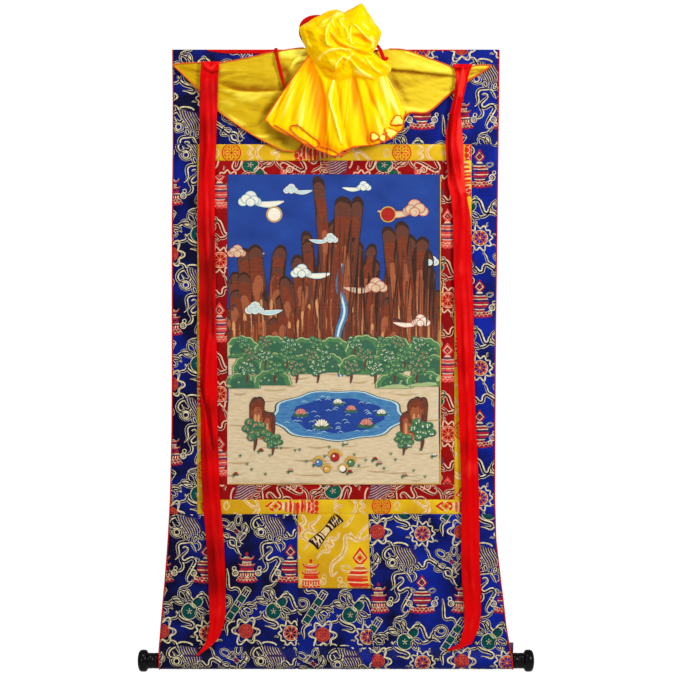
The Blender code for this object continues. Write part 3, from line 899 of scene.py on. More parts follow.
@dataclass(frozen=True)
class Panel:
    """One sewn piece of brocade between its four edges.

    Attributes:
        node: The CAD node that it stands for.
        left, right: Its side lines as functions of the run down the cloth.
        top, bottom: Where it starts and ends down the cloth.
        wheel: A flat place where the pattern's wheel lies.
        way: How the pattern was cut.
        sag: How far its lower right corner hangs forward.
    """

    node: str
    left: Line
    right: Line
    top: float
    bottom: float
    wheel: Pair
    way: Way = Way.UPRIGHT
    sag: float = 0.0
    tuck: float = 0.9

    def lift_at(self, x: Numbers, s: Numbers) -> Numbers:
        """The sewn edges dip into their seams, and the lower right corner may sag.

        Args:
            x, s: Flat places.

        Returns:
            The lift in millimetres.
        """
        side = np.minimum(x - self.left(s), self.right(s) - x)
        ends = np.minimum(s - self.top, self.bottom - s)
        if self.top < 1:
            ends = self.bottom - s
        near = np.minimum(side, ends)
        dip = self.tuck * np.exp(-((np.maximum(near, 0) / 1.5) ** 2))
        pucker = 0.24 * self.tuck * np.exp(-np.maximum(near, 0) / 9) * ripple(x, s, 11, 17.0)
        low = fade(s, self.top + 40, self.bottom)
        corner = self.sag * low * (0.35 + 0.65 * fade(x, -40, 75))
        return corner + pucker - dip

    def place(self, x: Numbers, s: Numbers, lift: Numbers) -> Numbers:
        """Where a flat place of the panel hangs."""
        return HUNG.place(x, s, lift + self.lift_at(x, s))

    def grid(self, step: float) -> Arrays:
        """Its surface as rows of points, and their flat places.

        Args:
            step: Spacing of the even part.

        Returns:
            Hung points, and their flat places.
        """
        share = spaced(0, 100, 100 * step / float(np.mean(self.right(self.top) - self.left(self.top))))
        s = spaced(self.top, self.bottom, step)[:, None]
        x = self.left(s) + (self.right(s) - self.left(s)) * share / 100
        return self.place(x, s, 0.0), joined(x, s)


def straight(x: float) -> Line:
    """A side line that runs straight down."""
    return lambda s: np.zeros_like(np.asarray(s, dtype=float)) + x


def at(px: float, py: float) -> Pair:
    """A place given in figure units from the mount's top left, in millimetres."""
    return (px - 335) * UNIT, (py - 49.5) * UNIT


# --- The woven pattern


class Gathered:
    """Triangles gathered batch by batch."""

    def __init__(self) -> None:
        """Starts empty."""
        self.places: List[Numbers] = []
        self.faces: List[Numbers] = []
        self.count = 0

    def add(self, places: Numbers, faces: Numbers) -> None:
        """Adds rows of places and the triangles between them."""
        self.places.append(places)
        self.faces.append(faces + self.count)
        self.count += len(places)

    def all(self) -> Arrays:
        """All places and triangles."""
        return np.concatenate(self.places), np.concatenate(self.faces)


class FigureSheet:
    """Raised figures of one pattern repeat, gathered by thread, in figure units."""

    def __init__(self, unit: float, core: float) -> None:
        """Starts with nothing drawn.

        Args:
            unit: Millimetres of one figure unit.
            core: Share of a ribbon's width that its dark line takes.
        """
        self.unit, self.core, self.size = unit, core, 1.0
        self.drawn = {thread: Gathered() for thread in Thread}
        self.origin, self.angle = (0.0, 0.0), 0.0

    def put(self, x: float, y: float, angle: float = 0.0, size: float = 1.0) -> "FigureSheet":
        """Sets where the next marks are drawn, their turn in degrees, and their size."""
        self.origin, self.angle, self.size = (x, y), radians(angle), size
        return self

    def add(self, thread: Thread, points: Numbers, lift: Numbers, faces: Numbers) -> None:
        """Adds triangles in local units, with their lift in millimetres.

        Args:
            thread: Their thread.
            points, faces: The triangles.
            lift: Height of each point over the cloth.
        """
        c, s = self.size * cos(self.angle), self.size * sin(self.angle)
        x = self.origin[0] + points[:, 0] * c - points[:, 1] * s
        y = self.origin[1] + points[:, 0] * s + points[:, 1] * c
        faces = np.where((twice_area(x, y, faces) < 0)[:, None], faces[:, ::-1], faces)
        self.drawn[thread].add(joined(x * self.unit, y * self.unit, lift), faces)

    def band(
        self, thread: Thread, line: Rows, width: float, lift: float = 0.15, taper: Pair = (1.0, 1.0),
        steps: int = 0, shift: float = 0.0, dome: float = 0.18
    ) -> None:
        """A woven band along a line, a little domed across.

        Args:
            thread: Its thread.
            line: Points of its middle.
            width: Its width.
            lift: Height of its edges above the cloth in millimetres.
            taper: Width at its start and end, as a share.
            steps: Steps of a smooth curve through the points; 0 keeps the given points.
            shift: Sideways shift in local units.
            dome: Extra height of its middle in millimetres.
        """
        points = along(line, shares(steps + 1)) if steps else np.array(line, dtype=float)
        side, n = sideways(points), len(points)
        t = shares(n)
        ends = 1 - (1 - taper[0]) * (1 - fade(t, 0, 0.3)) - (1 - taper[1]) * fade(t, 0.7, 1)
        half = (width / 2 * ends)[:, None]
        middle = points + side * shift
        lifts = np.concatenate([np.full(n, lift), lift + dome * ends, np.full(n, lift)])
        first = (np.arange(n - 1)[:, None] + [0, n]).ravel()
        places = np.concatenate([middle - side * half, middle, middle + side * half])
        self.add(thread, places, lifts, strip(first, n))

    def patch(
        self, thread: Thread, outline: Numbers, lift: float = 0.15, middle: Optional[Numbers] = None
    ) -> None:
        """A filled shape, a little domed, that its middle sees all of.

        Args:
            thread: Its thread.
            outline: Its edge.
            lift: Height of its edge over the cloth.
            middle: A place that sees the whole edge; the mean if left out.
        """
        points = np.array(outline, dtype=float)
        middle = points.mean(axis=0) if middle is None else middle
        n = len(points)
        places = np.concatenate([[middle], middle + (points - middle) * 0.5, points])
        lifts = np.concatenate([[lift + 0.22], np.full(n, lift + 0.16), np.full(n, lift)])
        i = np.arange(n)
        j = (i + 1) % n
        a, b, c, d = 1 + i, 1 + j, 1 + n + j, 1 + n + i
        faces = [np.stack(s, axis=1) for s in ((0 * i, a, b), (a, b, c), (a, c, d))]
        self.add(thread, places, lifts, np.concatenate(faces))

    @staticmethod
    def oval(x: float, y: float, rx: float, ry: float, turn: float, angles: Numbers) -> Numbers:
        """Points of an ellipse."""
        c, s = cos(radians(turn)), sin(radians(turn))
        px, py = rx * np.cos(angles), ry * np.sin(angles)
        return joined(x + px * c - py * s, y + px * s + py * c)

    def disc(
        self, thread: Thread, x: float, y: float, rx: float, ry: float = 0.0, lift: float = 0.15,
        turn: float = 0.0, segments: int = 18
    ) -> None:
        """A filled ellipse."""
        angles = np.linspace(0, 2 * pi, segments, endpoint=False)
        self.patch(thread, self.oval(x, y, rx, ry or rx, turn, angles), lift)

    def ring(
        self, thread: Thread, x: float, y: float, rx: float, width: float, ry: float = 0.0, lift: float = 0.3,
        turn: float = 0.0, start: float = 0.0, sweep: float = 360.0
    ) -> None:
        """A ring or an arc."""
        angles = np.radians(np.linspace(start, start + sweep, max(8, int(sweep / 18)) + 1))
        self.band(thread, self.oval(x, y, rx, ry or rx, turn, angles), width, lift)

    def stack(self, profile: Sequence[Tuple[float, float, Thread]], lift: float = 0.2) -> None:
        """Bands one below the other, each from a half width to the next one's.

        Args:
            profile: Height, half width and thread of each band.
            lift: Height over the cloth.
        """
        for (y, half, thread), (lower, below, _) in zip(profile, profile[1:]):
            sag = 0.4 if half > 4 else 0.0
            outline = [(-half, y), (0, y + sag), (half, y), (below, lower), (0, lower + sag), (-below, lower)]
            self.patch(thread, outline, lift)

    def sweep(
        self, x: float, y: float, heading: float, arcs: Sequence[Pair], width: float = 3.7,
        ends: Pair = (0.45, 0.3)
    ) -> None:
        """A flying ribbon with a dark line in it, laid as arcs of a length and a turn.

        Args:
            x, y: Where it starts.
            heading: Its first way in degrees, 0 to the right and 90 downwards.
            arcs: Length and turn in degrees of each arc.
            width: Its width.
            ends: Share of its width at its two ends.
        """
        line, way = [(x, y)], radians(heading)
        for length, turn in arcs:
            steps = max(3, int(length / 1.7))
            for _ in range(steps):
                half = radians(turn) / steps / 2
                way += half
                x, y = line[-1]
                line.append((x + length / steps * cos(way), y + length / steps * sin(way)))
                way += half
        self.ribbon(line, width, ends)

    def ribbon(self, line: Rows, width: float, ends: Pair, steps: int = 0) -> None:
        """A woven ribbon along a line, with a dark line in it."""
        self.band(CREAM, line, width * 0.92, 0.12, ends, steps)
        self.band(DARK, line, width * self.core, 0.32, (0.3, 0.2), steps, shift=width * 0.09, dome=0.03)

    def loops(self, rows: Rows, slim: float, width: float) -> None:
        """Loops of one width, each with its place, size and turn."""
        for x, y, size, turn in rows:
            self.loop(x, y, size, turn, slim, width)

    def wavy(self, reach: float, swing: float, lobes: int, width: float) -> None:
        """A closed wavy outline round a figure.

        Args:
            reach, swing: Its mean radius and the height of its waves.
            lobes: Number of waves.
            width: Of its line.
        """
        a = np.linspace(0, 2 * pi, 12 * lobes + 1)
        r = reach + swing * (np.cos(lobes * a) + 0.4 * np.sin((lobes - 2) * a + lobes))
        self.band(CREAM, joined(r * np.cos(a), r * np.sin(a)), width, 0.2)

    def loop(
        self, x: float, y: float, size: float, turn: float, slim: float = 0.6, width: float = 2.6
    ) -> None:
        """A bow's loop: an open leaf of doubled ribbon."""
        self.ring(CREAM, x, y, size, width * 0.9, size * slim, 0.18, turn)
        self.ring(DARK, x, y, size * 1.02, width * self.core, size * slim * 1.05, 0.4, turn)


# Flying ribbons: start, first heading, arcs (length, turn), width.
RIBBONS = (
    (-9, 31, -80, ((7, 140), (3, 0), (8, -160), (7, 130), (12, 10), (6, -60), (9, 125), (9, -190)), 4.2),
    (-14, 39, 185, ((11, -10), (8, -95), (5, 0), (8, 75)), 3.8),
    (-24, 45, -60, ((9, 200), (6, 0), (10, -170), (5, 0), (8, 150), (13, 0), (5, -20), (10, -190)), 4.1),
    (
        -26, 89, -45, ((7, 100), (8, 0), (7, -125), (6, 60), (7, 80), (9, 0), (8, -165), (6, 80), (8, -55)),
        4.3), (-3, 106, 70, ((6, -75), (6, -40), (6, 75), (6, -5)), 3.8),
    (4, 15, 55, ((7, 25), (6, -60), (5, 20)), 3.0),
    (20, 65, 75, ((9, 15), (9, -5), (6, -115), (8, 100), (8, 45)), 3.7),
    (50, 106, -125, ((8, -55), (9, -50), (5, 30)), 3.7),
    (-31, 108, 65, ((6, -10), (9, -45), (6, 20), (7, 170), (9, -20)), 4.4),
    (20, 35, 40, ((5, 50), (6, -90), (5, 70), (8, -40)), 4.2),
    (-22, 13, 185, ((10, -15), (9, -60), (10, -105), (6, -20)), 3.8), (-17, 39, 40, ((6, 25), (6, -10)), 3.0),
    (-12, 36, 60, ((5, -30), (5, 80), (4, 30)), 3.0),
    (38, 19, 55, ((7, 60), (7, 35), (5, -60), (8, -80)), 4.0), (-25, 98, 200, ((8, -30), (8, -40)), 3.8),
    (47, 8, -20, ((7, 90), (10, -20), (9, 175), (6, 20)), 4.2),
    (28, -12, 200, ((7, -60), (8, -70), (6, 30)), 3.8), (56, 86, -50, ((6, 50), (7, -50), (6, 30)), 3.2),
    (12, 36, -30, ((5, -60), (5, 40)), 2.8), (57, 52, 100, ((8, -50), (8, 90), (6, 40)), 3.6),
    (-38, 118, -60, ((6, 60), (6, -80), (5, 40)), 3.2)
)


# Ribbons of the yellow brocade as points and a width, round its drum and its rosette.
TRAILS = (
    (
        (
            (6, 24), (0, 31), (-2, 36), (-8, 33), (-11, 34), (-11, 41), (-14, 48), (-20, 53), (-22, 58),
            (-21, 63), (-17, 60)), 4.2),
    (((-30, 17), (-34, 22), (-38, 25), (-35, 30), (-41, 29), (-43, 33), (-39, 38), (-43, 43)), 4.0),
    (((-16, 30), (-18, 35), (-23, 35), (-21, 40), (-26, 38), (-24, 44), (-29, 45), (-33, 50)), 3.8),
    (((-5, 17), (-9, 23), (-13, 26)), 2.6), (((-45, 15), (-42, 22), (-46, 25)), 3.6),
    (((-7, -11), (-3, -16), (0, -13), (3, -16), (7, -11)), 2.6),
    (((-8, -26), (-3, -20), (3, -20), (8, -26)), 2.8), (((-8, 30), (-3, 35), (3, 35), (8, 30)), 2.6),
    (((-3.4, 11.7), (0, 9.8), (3.4, 11.7), (0, 13.6), (-3.4, 11.7)), 1.5),
    (((-7, -32), (-2, -36), (0, -31), (2, -36), (7, -32)), 2.4),
    (((20, 12), (27, 17), (24, 24), (31, 28), (38, 24), (42, 30)), 3.8),
    (((14, 52), (20, 45), (27, 50), (33, 44), (38, 50)), 3.8),
    (((-30, 88), (-22, 94), (-26, 102), (-16, 106), (-12, 98)), 3.8),
    (((8, 92), (15, 98), (11, 106), (20, 110), (28, 104)), 3.8)
)


@dataclass(frozen=True)
class Layout:
    """One cloth's repeat, in units.

    Attributes:
        figures: Figures with their place, and their turn and size where they have one.
        ribbons, trails: Flying ribbons as arcs, and as points.
        width, length, scale: The repeat's measures, and how much larger than usual it is woven.
        core: Share of a ribbon's width that its dark line takes.
    """

    figures: Sequence[Tuple]
    ribbons: Tuple[Tuple[float, float, float, Tuple[Pair, ...], float], ...] = ()
    trails: Tuple[Tuple[Tuple[Pair, ...], float], ...] = ()
    width: float = 84.0
    length: float = 130.0
    scale: float = 1.0
    core: float = 0.44


FIELD = Layout(
    (
        (Figure.WHEEL, 0, 0), (Figure.COIN, 39, -2), (Figure.LUTE, -17.5, 21), (Figure.DRUM, 29.5, 28, 42),
        (Figure.VASE, -0.5, 62), (Figure.TOWER, 40, 63), (Figure.GOURD, -17.5, 107),
        (Figure.SCROLL, 31, 101, -57)), ribbons=RIBBONS
)
SMALL_FIELD = replace(FIELD, scale=1.03)
LARGE_FIELD = Layout(
    (
        (Figure.ROSETTE, 0, 0), (Figure.VASE, 0, 63, 0, 1.05), (Figure.TOWER, -37.5, 62, 0, 0.82),
        (Figure.STRIPED_DRUM, -26, 29, -48), (Figure.LUTE, 30, 24, 0, 0.7), (Figure.SCROLL, -30, 100, -57),
        (Figure.GOURD, 27, 92)), trails=TRAILS, scale=1.31, core=0.2
)


class PatternRepeat:
    """One repeat of a brocade: its figures among flying ribbons."""

    def __init__(self, layout: Layout) -> None:
        """Draws the repeat."""
        unit = UNIT * layout.scale
        self.width, self.length = layout.width * unit, layout.length * unit
        self.sheet = FigureSheet(unit, layout.core)
        draw = {
            Figure.WHEEL: self._wheel, Figure.COIN: self._coin, Figure.ROSETTE: self._rosette,
            Figure.LUTE: self._lute, Figure.DRUM: self._drum, Figure.STRIPED_DRUM: self._striped_drum,
            Figure.VASE: self._vase, Figure.TOWER: self._tower, Figure.GOURD: self._gourd,
            Figure.SCROLL: self._scroll
        }
        for figure, *place in layout.figures:
            self.sheet.put(*place)
            draw[figure]()
        self.sheet.put(0, 0)
        for x, y, heading, arcs, width in layout.ribbons:
            self.sheet.sweep(x, y, heading, arcs, width)
        for points, width in layout.trails:
            self.sheet.ribbon(points, width, (0.6, 0.4), 6 * len(points))

    def _wheel(self) -> None:
        """An eight-spoked wheel with hooked rays inside a wavy outline."""
        s = self.sheet
        s.ring(ORANGE, 0, 0, 6.3, 2.2)
        s.ring(CREAM, 0, 0, 7.7, 0.6, lift=0.4)
        for k in range(8):
            a = radians(k * 45 + 10)
            c, n = cos(a), sin(a)
            s.band(ORANGE, [(1.2 * c, 1.2 * n), (5.4 * c, 5.4 * n)], 1.1)
            s.band(CREAM, [(5.3 * c, 5.3 * n), (7.4 * c, 7.4 * n)], 0.7, 0.5)
            a += radians(20)
            way = degrees(a) + 35 * (-1) ** k
            s.sweep(12.6 * cos(a), 12.6 * sin(a), way, ((2.4, -90 * (-1) ** k), (3, 110 * (-1) ** k)), 1.9)
        s.disc(ORANGE, 0, 0, 1.7)
        s.disc(CREAM, 0, 0, 0.7, lift=0.45, segments=10)
        s.wavy(11.2, 1.5, 10, 1.4)

    def _coin(self) -> None:
        """A coin with six rings on it, inside a wavy outline of six lobes."""
        s = self.sheet
        s.disc(ORANGE, 0, 0, 7.4, segments=24)
        s.ring(RED, 0, 0, 6.0, 0.9, lift=0.4)
        for k in range(6):
            a = radians(k * 60)
            s.ring(RED, 3.4 * cos(a), 3.4 * sin(a), 1.4, 0.7, lift=0.45)
        s.disc(RED, 0, 0, 0.9, lift=0.45, segments=10)
        s.wavy(11.6, 2.7, 6, 1.5)
        s.wavy(9.6, 1.6, 6, 0.5)

    def _rosette(self) -> None:
        """A thin double ring round a flower."""
        s = self.sheet
        s.ring(RED, 0, 0, 7.0, 0.9)
        s.ring(ORANGE, 0, 0, 5.6, 0.5)
        for k in range(8):
            a = radians(k * 45)
            s.disc(ORANGE, 3.0 * cos(a), 3.0 * sin(a), 1.6, 0.6, 0.3, k * 45, 10)
            s.disc(RED, 4.6 * cos(a + 0.39), 4.6 * sin(a + 0.39), 0.7, lift=0.3, segments=8)
        s.disc(RED, 0, 0, 1.1, lift=0.5, segments=10)

    def _striped_drum(self) -> None:
        """A waisted drum in black and cream, flared at both ends."""
        s = self.sheet
        s.patch(
            CREAM,
            [
                (-14, -4.6), (-6, -3.2), (0, -2.4), (6, -3.0), (14, -4.4), (14, 4.4), (6, 3.0), (0, 2.4),
                (-6, 3.2), (-14, 4.6)]
        )
        for k in (-1, 1):
            line = [(-14, 4.8 * k), (-6, 3.4 * k), (0, 2.6 * k), (6, 3.2 * k), (14, 4.6 * k)]
            s.band(GREEN, line, 0.6, 0.4, steps=8)
        for x, half, width in (
            (-14, 5.0, 1.9), (-6.5, 3.6, 1.5), (-4.0, 3.0, 0.8), (3.2, 2.8, 1.9), (6.4, 3.4, 1.5),
            (14.0, 5.0, 1.5)
        ):
            s.band(GREEN, [(x, -half), (x + 0.7, 0), (x, half)], width, 0.45, steps=6)
        for x in (-12, -9, 8.4, 10.4, 12.4):
            s.band(GREEN, [(x, -3.6), (x - 1.2, -0.5)], 1.3, 0.45)
            s.band(GREEN, [(x + 1, 0.4), (x - 0.6, 3.4)], 1.3, 0.45)

    def _lute(self) -> None:
        """A striped lute in its bow."""
        s = self.sheet
        for k in range(7):
            x = -10 + 2.6 * k
            line = [(x, -9 + 0.4 * k), (x + 1.5, -3), (x + 6.5, 5), (x * 0.6 + 7, 13 - 0.3 * k)]
            s.band(PURPLE, line, 2.3, 0.2, (0.8, 0.6), steps=8)
            s.band(CREAM, line, 0.55, 0.34, (0.6, 0.6), steps=8, shift=1.4)
        s.ring(CREAM, -4, -9.6, 7.0, 1.5, 2.4, 0.3, 8, 180, 180)
        s.loop(-12.5, 8, 6.0, 20, 0.8, 2.6)
        s.ring(CREAM, -12.5, 8, 2.7, 1.1, lift=0.36)
        s.loops(((-3.5, 13, 3.8, 70), (6, 15, 3.8, 110), (12, 12, 3.4, 40)), 0.6, 2.6)

    def _drum(self) -> None:
        """A waisted drum in its bow."""
        s = self.sheet
        for k in (-1, 1):
            s.patch(PURPLE, [(8.5 * k, -4.6), (9.8 * k, 0), (8.5 * k, 4.6), (1.6 * k, 1.8), (1.6 * k, -1.8)])
            s.band(CREAM, [(-8.5, 4.6 * k), (-2, 1.9 * k), (2, 1.9 * k), (8.5, 4.6 * k)], 0.6, 0.3)
            s.ring(CREAM, 8.6 * k, 0, 1.6, 0.6, 4.8)
            for m in (-1, 0, 1):
                s.band(CREAM, [(8 * k, 2.6 * m), (2.4 * k, 0.9 * m)], 0.4, 0.4)
        s.band(RED, [(0, -2.4), (0, 2.4)], 1.6, 0.45)
        s.angle = 0.0
        s.loops(((-11, -8, 5.2, 30), (-12, 6, 5.4, -20), (2, -11, 4.6, 100), (9, -3, 4.2, 60)), 0.62, 2.4)

    def _lotus(self, y: float, half: float) -> None:
        """Two rows of lotus petals.

        Args:
            y: Height of the lower row.
            half: Half its width.
        """
        for row, (drop, count) in enumerate(((y, 6), (y - 2.7, 5))):
            reach = half - 2.2 - 1.5 * row
            for x in np.linspace(-reach, reach, count):
                fall = drop - 0.07 * x * x / half * 2
                self.sheet.disc(RED, x, fall, 2.3, 1.8, 0.15 + 0.05 * row, segments=12)
                self.sheet.ring(CREAM, x, fall, 2.3, 0.4, 1.8, 0.4, 0, 180, 180)

    def _vase(self) -> None:
        """A banded vase with a jewel on its lid."""
        s = self.sheet
        self._lotus(16.5, 12.5)
        rows = (
            (-8.4, 2.0, CREAM), (-6.5, 3.4, PURPLE), (-4.6, 5.4, CREAM), (-3.6, 6.4, RED), (-1.4, 8.2, CREAM),
            (-0.5, 8.8, PURPLE), (1.6, 9.3, RED), (4.0, 9.0, CREAM), (4.9, 8.6, RED), (7.2, 7.0, PURPLE),
            (8.8, 5.8, CREAM), (9.8, 4.8, RED), (12.4, 4.4, CREAM), (13.4, 5.4, RED)
        )
        s.stack(rows)
        for k in (-1, 1):
            s.loop(10.2 * k, -5.2, 3.4, -15 * k, 0.6, 1.5)
            for x, y, size, width in (
                (12.6, 7.6, 2.9, 1.0), (12.2, 7.9, 1.1, 0.7), (14.6, 2.6, 1.6, 0.8), (10.4, 12.2, 1.7, 0.8)
            ):
                s.ring(CREAM, x * k, y, size, width)
        s.patch(
            RED,
            [(0, -21), (3, -16.6), (5.6, -13), (2.8, -9.4), (0, -7.6), (-2.8, -9.4), (-5.6, -13), (-3, -16.6)]
        )
        s.patch(CREAM, [(0, -18.2), (4.2, -13), (0, -9.2), (-4.2, -13)], 0.34)
        s.patch(DARK, [(0, -16.8), (3.2, -13), (0, -10.2), (-3.2, -13)], 0.5)
        s.patch(RED, [(0, -15), (1.8, -13), (0, -11.4), (-1.8, -13)], 0.7)

    def _tower(self) -> None:
        """A tiered tower on a lotus."""
        s = self.sheet
        self._lotus(15.0, 10.5)
        s.band(CREAM, [(0, 9.4), (0, 13)], 2.4, 0.3)
        rows = (
            (-9.6, 2.2, CREAM), (-8.6, 3.6, RED), (-6.6, 5.0, PURPLE), (-5.0, 4.4, CREAM), (-4.2, 4.6, RED),
            (-1.2, 5.4, CREAM), (-0.3, 6.6, PURPLE), (1.4, 6.4, RED), (4.2, 7.2, CREAM), (5.2, 8.2, PURPLE),
            (6.4, 7.6, RED), (9.8, 8.0, RED)
        )
        s.stack(rows)
        for x in (-6, -3.6, -1.2, 1.2, 3.6, 6):
            s.band(CREAM, [(x, 6.8), (x, 9.6)], 1.0, 0.42)
            s.band(CREAM, [(x * 0.62, -3.8), (x * 0.66, -1.6)], 0.6, 0.42)
        for y, half, lift in ((-7.2, 7.6, 3.0), (-0.6, 8.6, 1.6)):
            line = [(-half, y - lift), (-half * 0.7, y), (0, y + 0.4), (half * 0.7, y), (half, y - lift)]
            s.band(RED, line, 1.7, 0.36, (0.4, 0.4), 10)
            s.band(CREAM, line, 0.5, 0.56, (0.4, 0.4), 10, shift=-0.9)
        s.disc(RED, 0, -12.4, 1.5, 2.0, 0.4, segments=10)
        for k in (-1, 1):
            for x, y, size, width in ((11.4, 6.6, 2.8, 1.0), (11.0, 6.8, 1.1, 0.7), (12.6, 2.0, 1.8, 0.8)):
                s.ring(CREAM, x * k, y, size, width)

    def _gourd(self) -> None:
        """A double gourd in its bow."""
        s = self.sheet
        s.disc(GREEN, 0, 1, 7.4, 7.8, segments=24)
        s.ring(CREAM, 0, 1, 7.8, 0.7, 8.2, 0.35)
        for k in range(5):
            a = radians(-90 + 72 * k)
            s.band(CREAM, [(0, 1), (2.8 * cos(a), 1 + 3.0 * sin(a))], 0.7, 0.42, (0.4, 1))
        s.disc(GREEN, 8.2, -8.0, 5.6, 4.4, 0.2, -42)
        s.ring(CREAM, 8.2, -8.0, 5.9, 0.6, 4.7, 0.36, -42)
        for x in (0, 1.8):
            s.band(CREAM, [(x + 0.6, -6.4 - x), (x + 5.2, -2.0 - x)], 0.7, 0.5)
        stem = [(11.2, -11.4), (14, -13.8), (14.6, -16.6), (12.6, -18.2), (10.4, -17)]
        s.band(CREAM, stem, 2.4, 0.2, (1, 0.5), 10)
        s.band(GREEN, stem, 1.2, 0.42, (1, 0.5), 10)
        bow = (
            (-6.5, -13.5, 6.8, 60), (-10.5, -9.5, 6.4, 20), (-1.5, -15.5, 5.0, 85), (12.5, 0.5, 5.0, 30),
            (9.5, 5.0, 4.6, 60)
        )
        s.loops(bow, 0.46, 2.6)

    def _scroll(self) -> None:
        """A rolled scroll in its bow."""
        s = self.sheet
        for start, end in ((-17.6, -10.5), (-9.3, -2.2), (3.2, 10.2)):
            s.patch(GREEN, [(start, -3.1), (end, -3.1), (end, 3.1), (start, 3.1)])
        for k in (-1, 1):
            s.band(CREAM, [(-18.4, 3.6 * k), (0, 3.7 * k), (18.4, 3.6 * k)], 0.7, 0.35, steps=8)
            s.band(CREAM, [(11, 1.2 * k), (18, 1.3 * k)], 0.5, 0.35)
            s.band(CREAM, [(-1.6, 1.6 * k), (2.6, 1.6 * k)], 0.6, 0.35)
            s.ring(CREAM, 18.4 * k, 0, 1.3, 0.6, 3.7)
        for x in (-9.9, -1.9, 3.0, 10.7):
            s.band(CREAM, [(x, -3.6), (x, 3.6)], 0.6, 0.4)
        s.angle = 0.0
        s.loop(-13, -3, 7.0, -20, 0.84, 2.8)
        s.loop(-12, -4, 3.4, 0, 0.9, 1.5)
        s.loops(((9, 5, 5.8, 35), (6, 10, 5.0, 60), (13, 1, 4.6, 10)), 0.5, 2.6)


@dataclass
class Brocade:
    """Weaves the pattern over the sewn panels of one colourway."""

    colourway: Colourway
    repeat: PatternRepeat
    kit: ShaderKit
    tree: NodeTree
    columns: int = 7
    rows: int = 8
    edge: float = 0.5

    @staticmethod
    def array_tree() -> NodeTree:
        """The geometry tree that repeats the figures over the flat cloth."""
        counts = {"Columns": 2, "Rows": 2, "Repeat Width": 0.1, "Repeat Length": 0.1}
        w, given = new_tree("pattern repeat", {"Geometry": "Geometry", **counts, "Thread": "Material"})
        sizes = {"Vertices X": given["Columns"], "Vertices Y": given["Rows"]}
        for count, size, width in (
            ("Columns", "Size X", "Repeat Width"), ("Rows", "Size Y", "Repeat Length")
        ):
            sizes[size] = w.math("MULTIPLY", w.math("SUBTRACT", given[count], 1.0), given[width])
        grid = w.add("GeometryNodeMeshGrid", sizes).outputs["Mesh"]
        laid = w.add(
            "GeometryNodeInstanceOnPoints", {"Points": grid, "Instance": given["Geometry"]}
        ).outputs[0]
        return w.finish(laid, given["Thread"])

    def field(self, thread: Thread, look: Material) -> Arrays:
        """The figures of one thread over a field of repeats: flat places and triangles.

        Args:
            thread: The thread.
            look: Its material.

        Returns:
            Flat places with lift, and triangles.
        """
        places, faces = self.repeat.sheet.drawn[thread].all()
        wide, long = self.repeat.width, self.repeat.length
        values = {
            "Columns": self.columns, "Rows": self.rows, "Repeat Width": wide * MM, "Repeat Length": long * MM,
            "Thread": look
        }
        mesh = grown(make_object("repeat", places * MM, faces.tolist(), [look]), self.tree, values)
        out, tris = triangles_of(mesh)
        out = out / MM
        out[:, 0] += wide * ((self.columns - 1) / 2 - self.columns // 2)
        out[:, 1] += long * ((self.rows - 1) / 2 - self.rows // 2)
        bpy.data.meshes.remove(mesh)
        return out, tris

    def on_panel(self, panel: Panel, places: Numbers, faces: Numbers) -> Arrays:
        """The figures that fall on a panel, cut at its edges and hung with it.

        Args:
            panel: The sewn piece.
            places: Flat places of the field, with lift.
            faces: Its triangles.

        Returns:
            World places with their flat places, and triangles.
        """
        wide, long = self.repeat.width, self.repeat.length
        u, v = places[:, 0], places[:, 1]
        if panel.way is not Way.UPRIGHT:
            back = 1 if panel.way is Way.TURNED_BACK else -1
            u, v = back * places[:, 1], -back * places[:, 0]
            wide, long = long, wide
        middle_x = float(panel.left(panel.top) + panel.right(panel.top)) / 2
        middle_s = (panel.top + panel.bottom) / 2
        x = u + panel.wheel[0] + wide * round((middle_x - panel.wheel[0]) / wide)
        s = v + panel.wheel[1] + long * round((middle_s - panel.wheel[1]) / long)
        left, right = panel.left(s) + self.edge, panel.right(s) - self.edge
        top, bottom = panel.top + self.edge, panel.bottom - self.edge
        inside = (x > left) & (x < right) & (s > top) & (s < bottom)
        faces = faces[inside[faces].any(axis=1)]
        x, s = np.clip(x, left, right), np.clip(s, top, bottom)
        faces = faces[np.abs(twice_area(x, s, faces)) > 1e-4]
        used, faces = np.unique(faces, return_inverse=True)
        x, s, lift = x[used], s[used], places[used, 2]
        hung = world(panel.place(x, s, lift + HUNG.thickness / 2))
        return np.column_stack([hung, x * MM, s * MM]), faces.reshape(-1, 3)[:, ::-1]

    def weave(self, panels: Sequence[Panel]) -> None:
        """One piece of figures for each thread, over all panels.

        Args:
            panels: The sewn pieces.
        """
        for thread in Thread:
            look = self.colourway.thread_look(thread, self.kit)
            field, woven = self.field(thread, look), Gathered()
            for panel in panels:
                woven.add(*self.on_panel(panel, *field))
            places, faces = woven.all()
            name = f"{self.colourway.slot}_{thread.value}_figures"
            as_piece(
                make_object(name, places[:, :3], faces.tolist(), [look], places[:, 3:]), self.colourway.slot
            )

    def sew(self, panels: Sequence[Panel], step: float) -> None:
        """The panels' own cloth, each a thin sheet with its reverse at the back.

        Args:
            panels: The sewn pieces.
            step: Spacing of their grids.
        """
        cloth = self.colourway
        front = cloth.look(self.kit, cloth.ground, "ground")
        back = cloth.look(self.kit, cloth.reverse, "reverse")
        for panel in panels:
            points, flat = panel.grid(step)
            piece = cloth_body(f"{panel.node}_cloth", points, flat, HUNG.thickness, [front, back])
            as_piece(piece, self.colourway.slot, [panel.node])
            width = float(np.mean(panel.right(flat[:, 0, 1]) - panel.left(flat[:, 0, 1]))) * MM


PICTURE_BOX = (-227.0, 223.5, 264.0, 917.5)
CANVAS_THICKNESS = 1.0


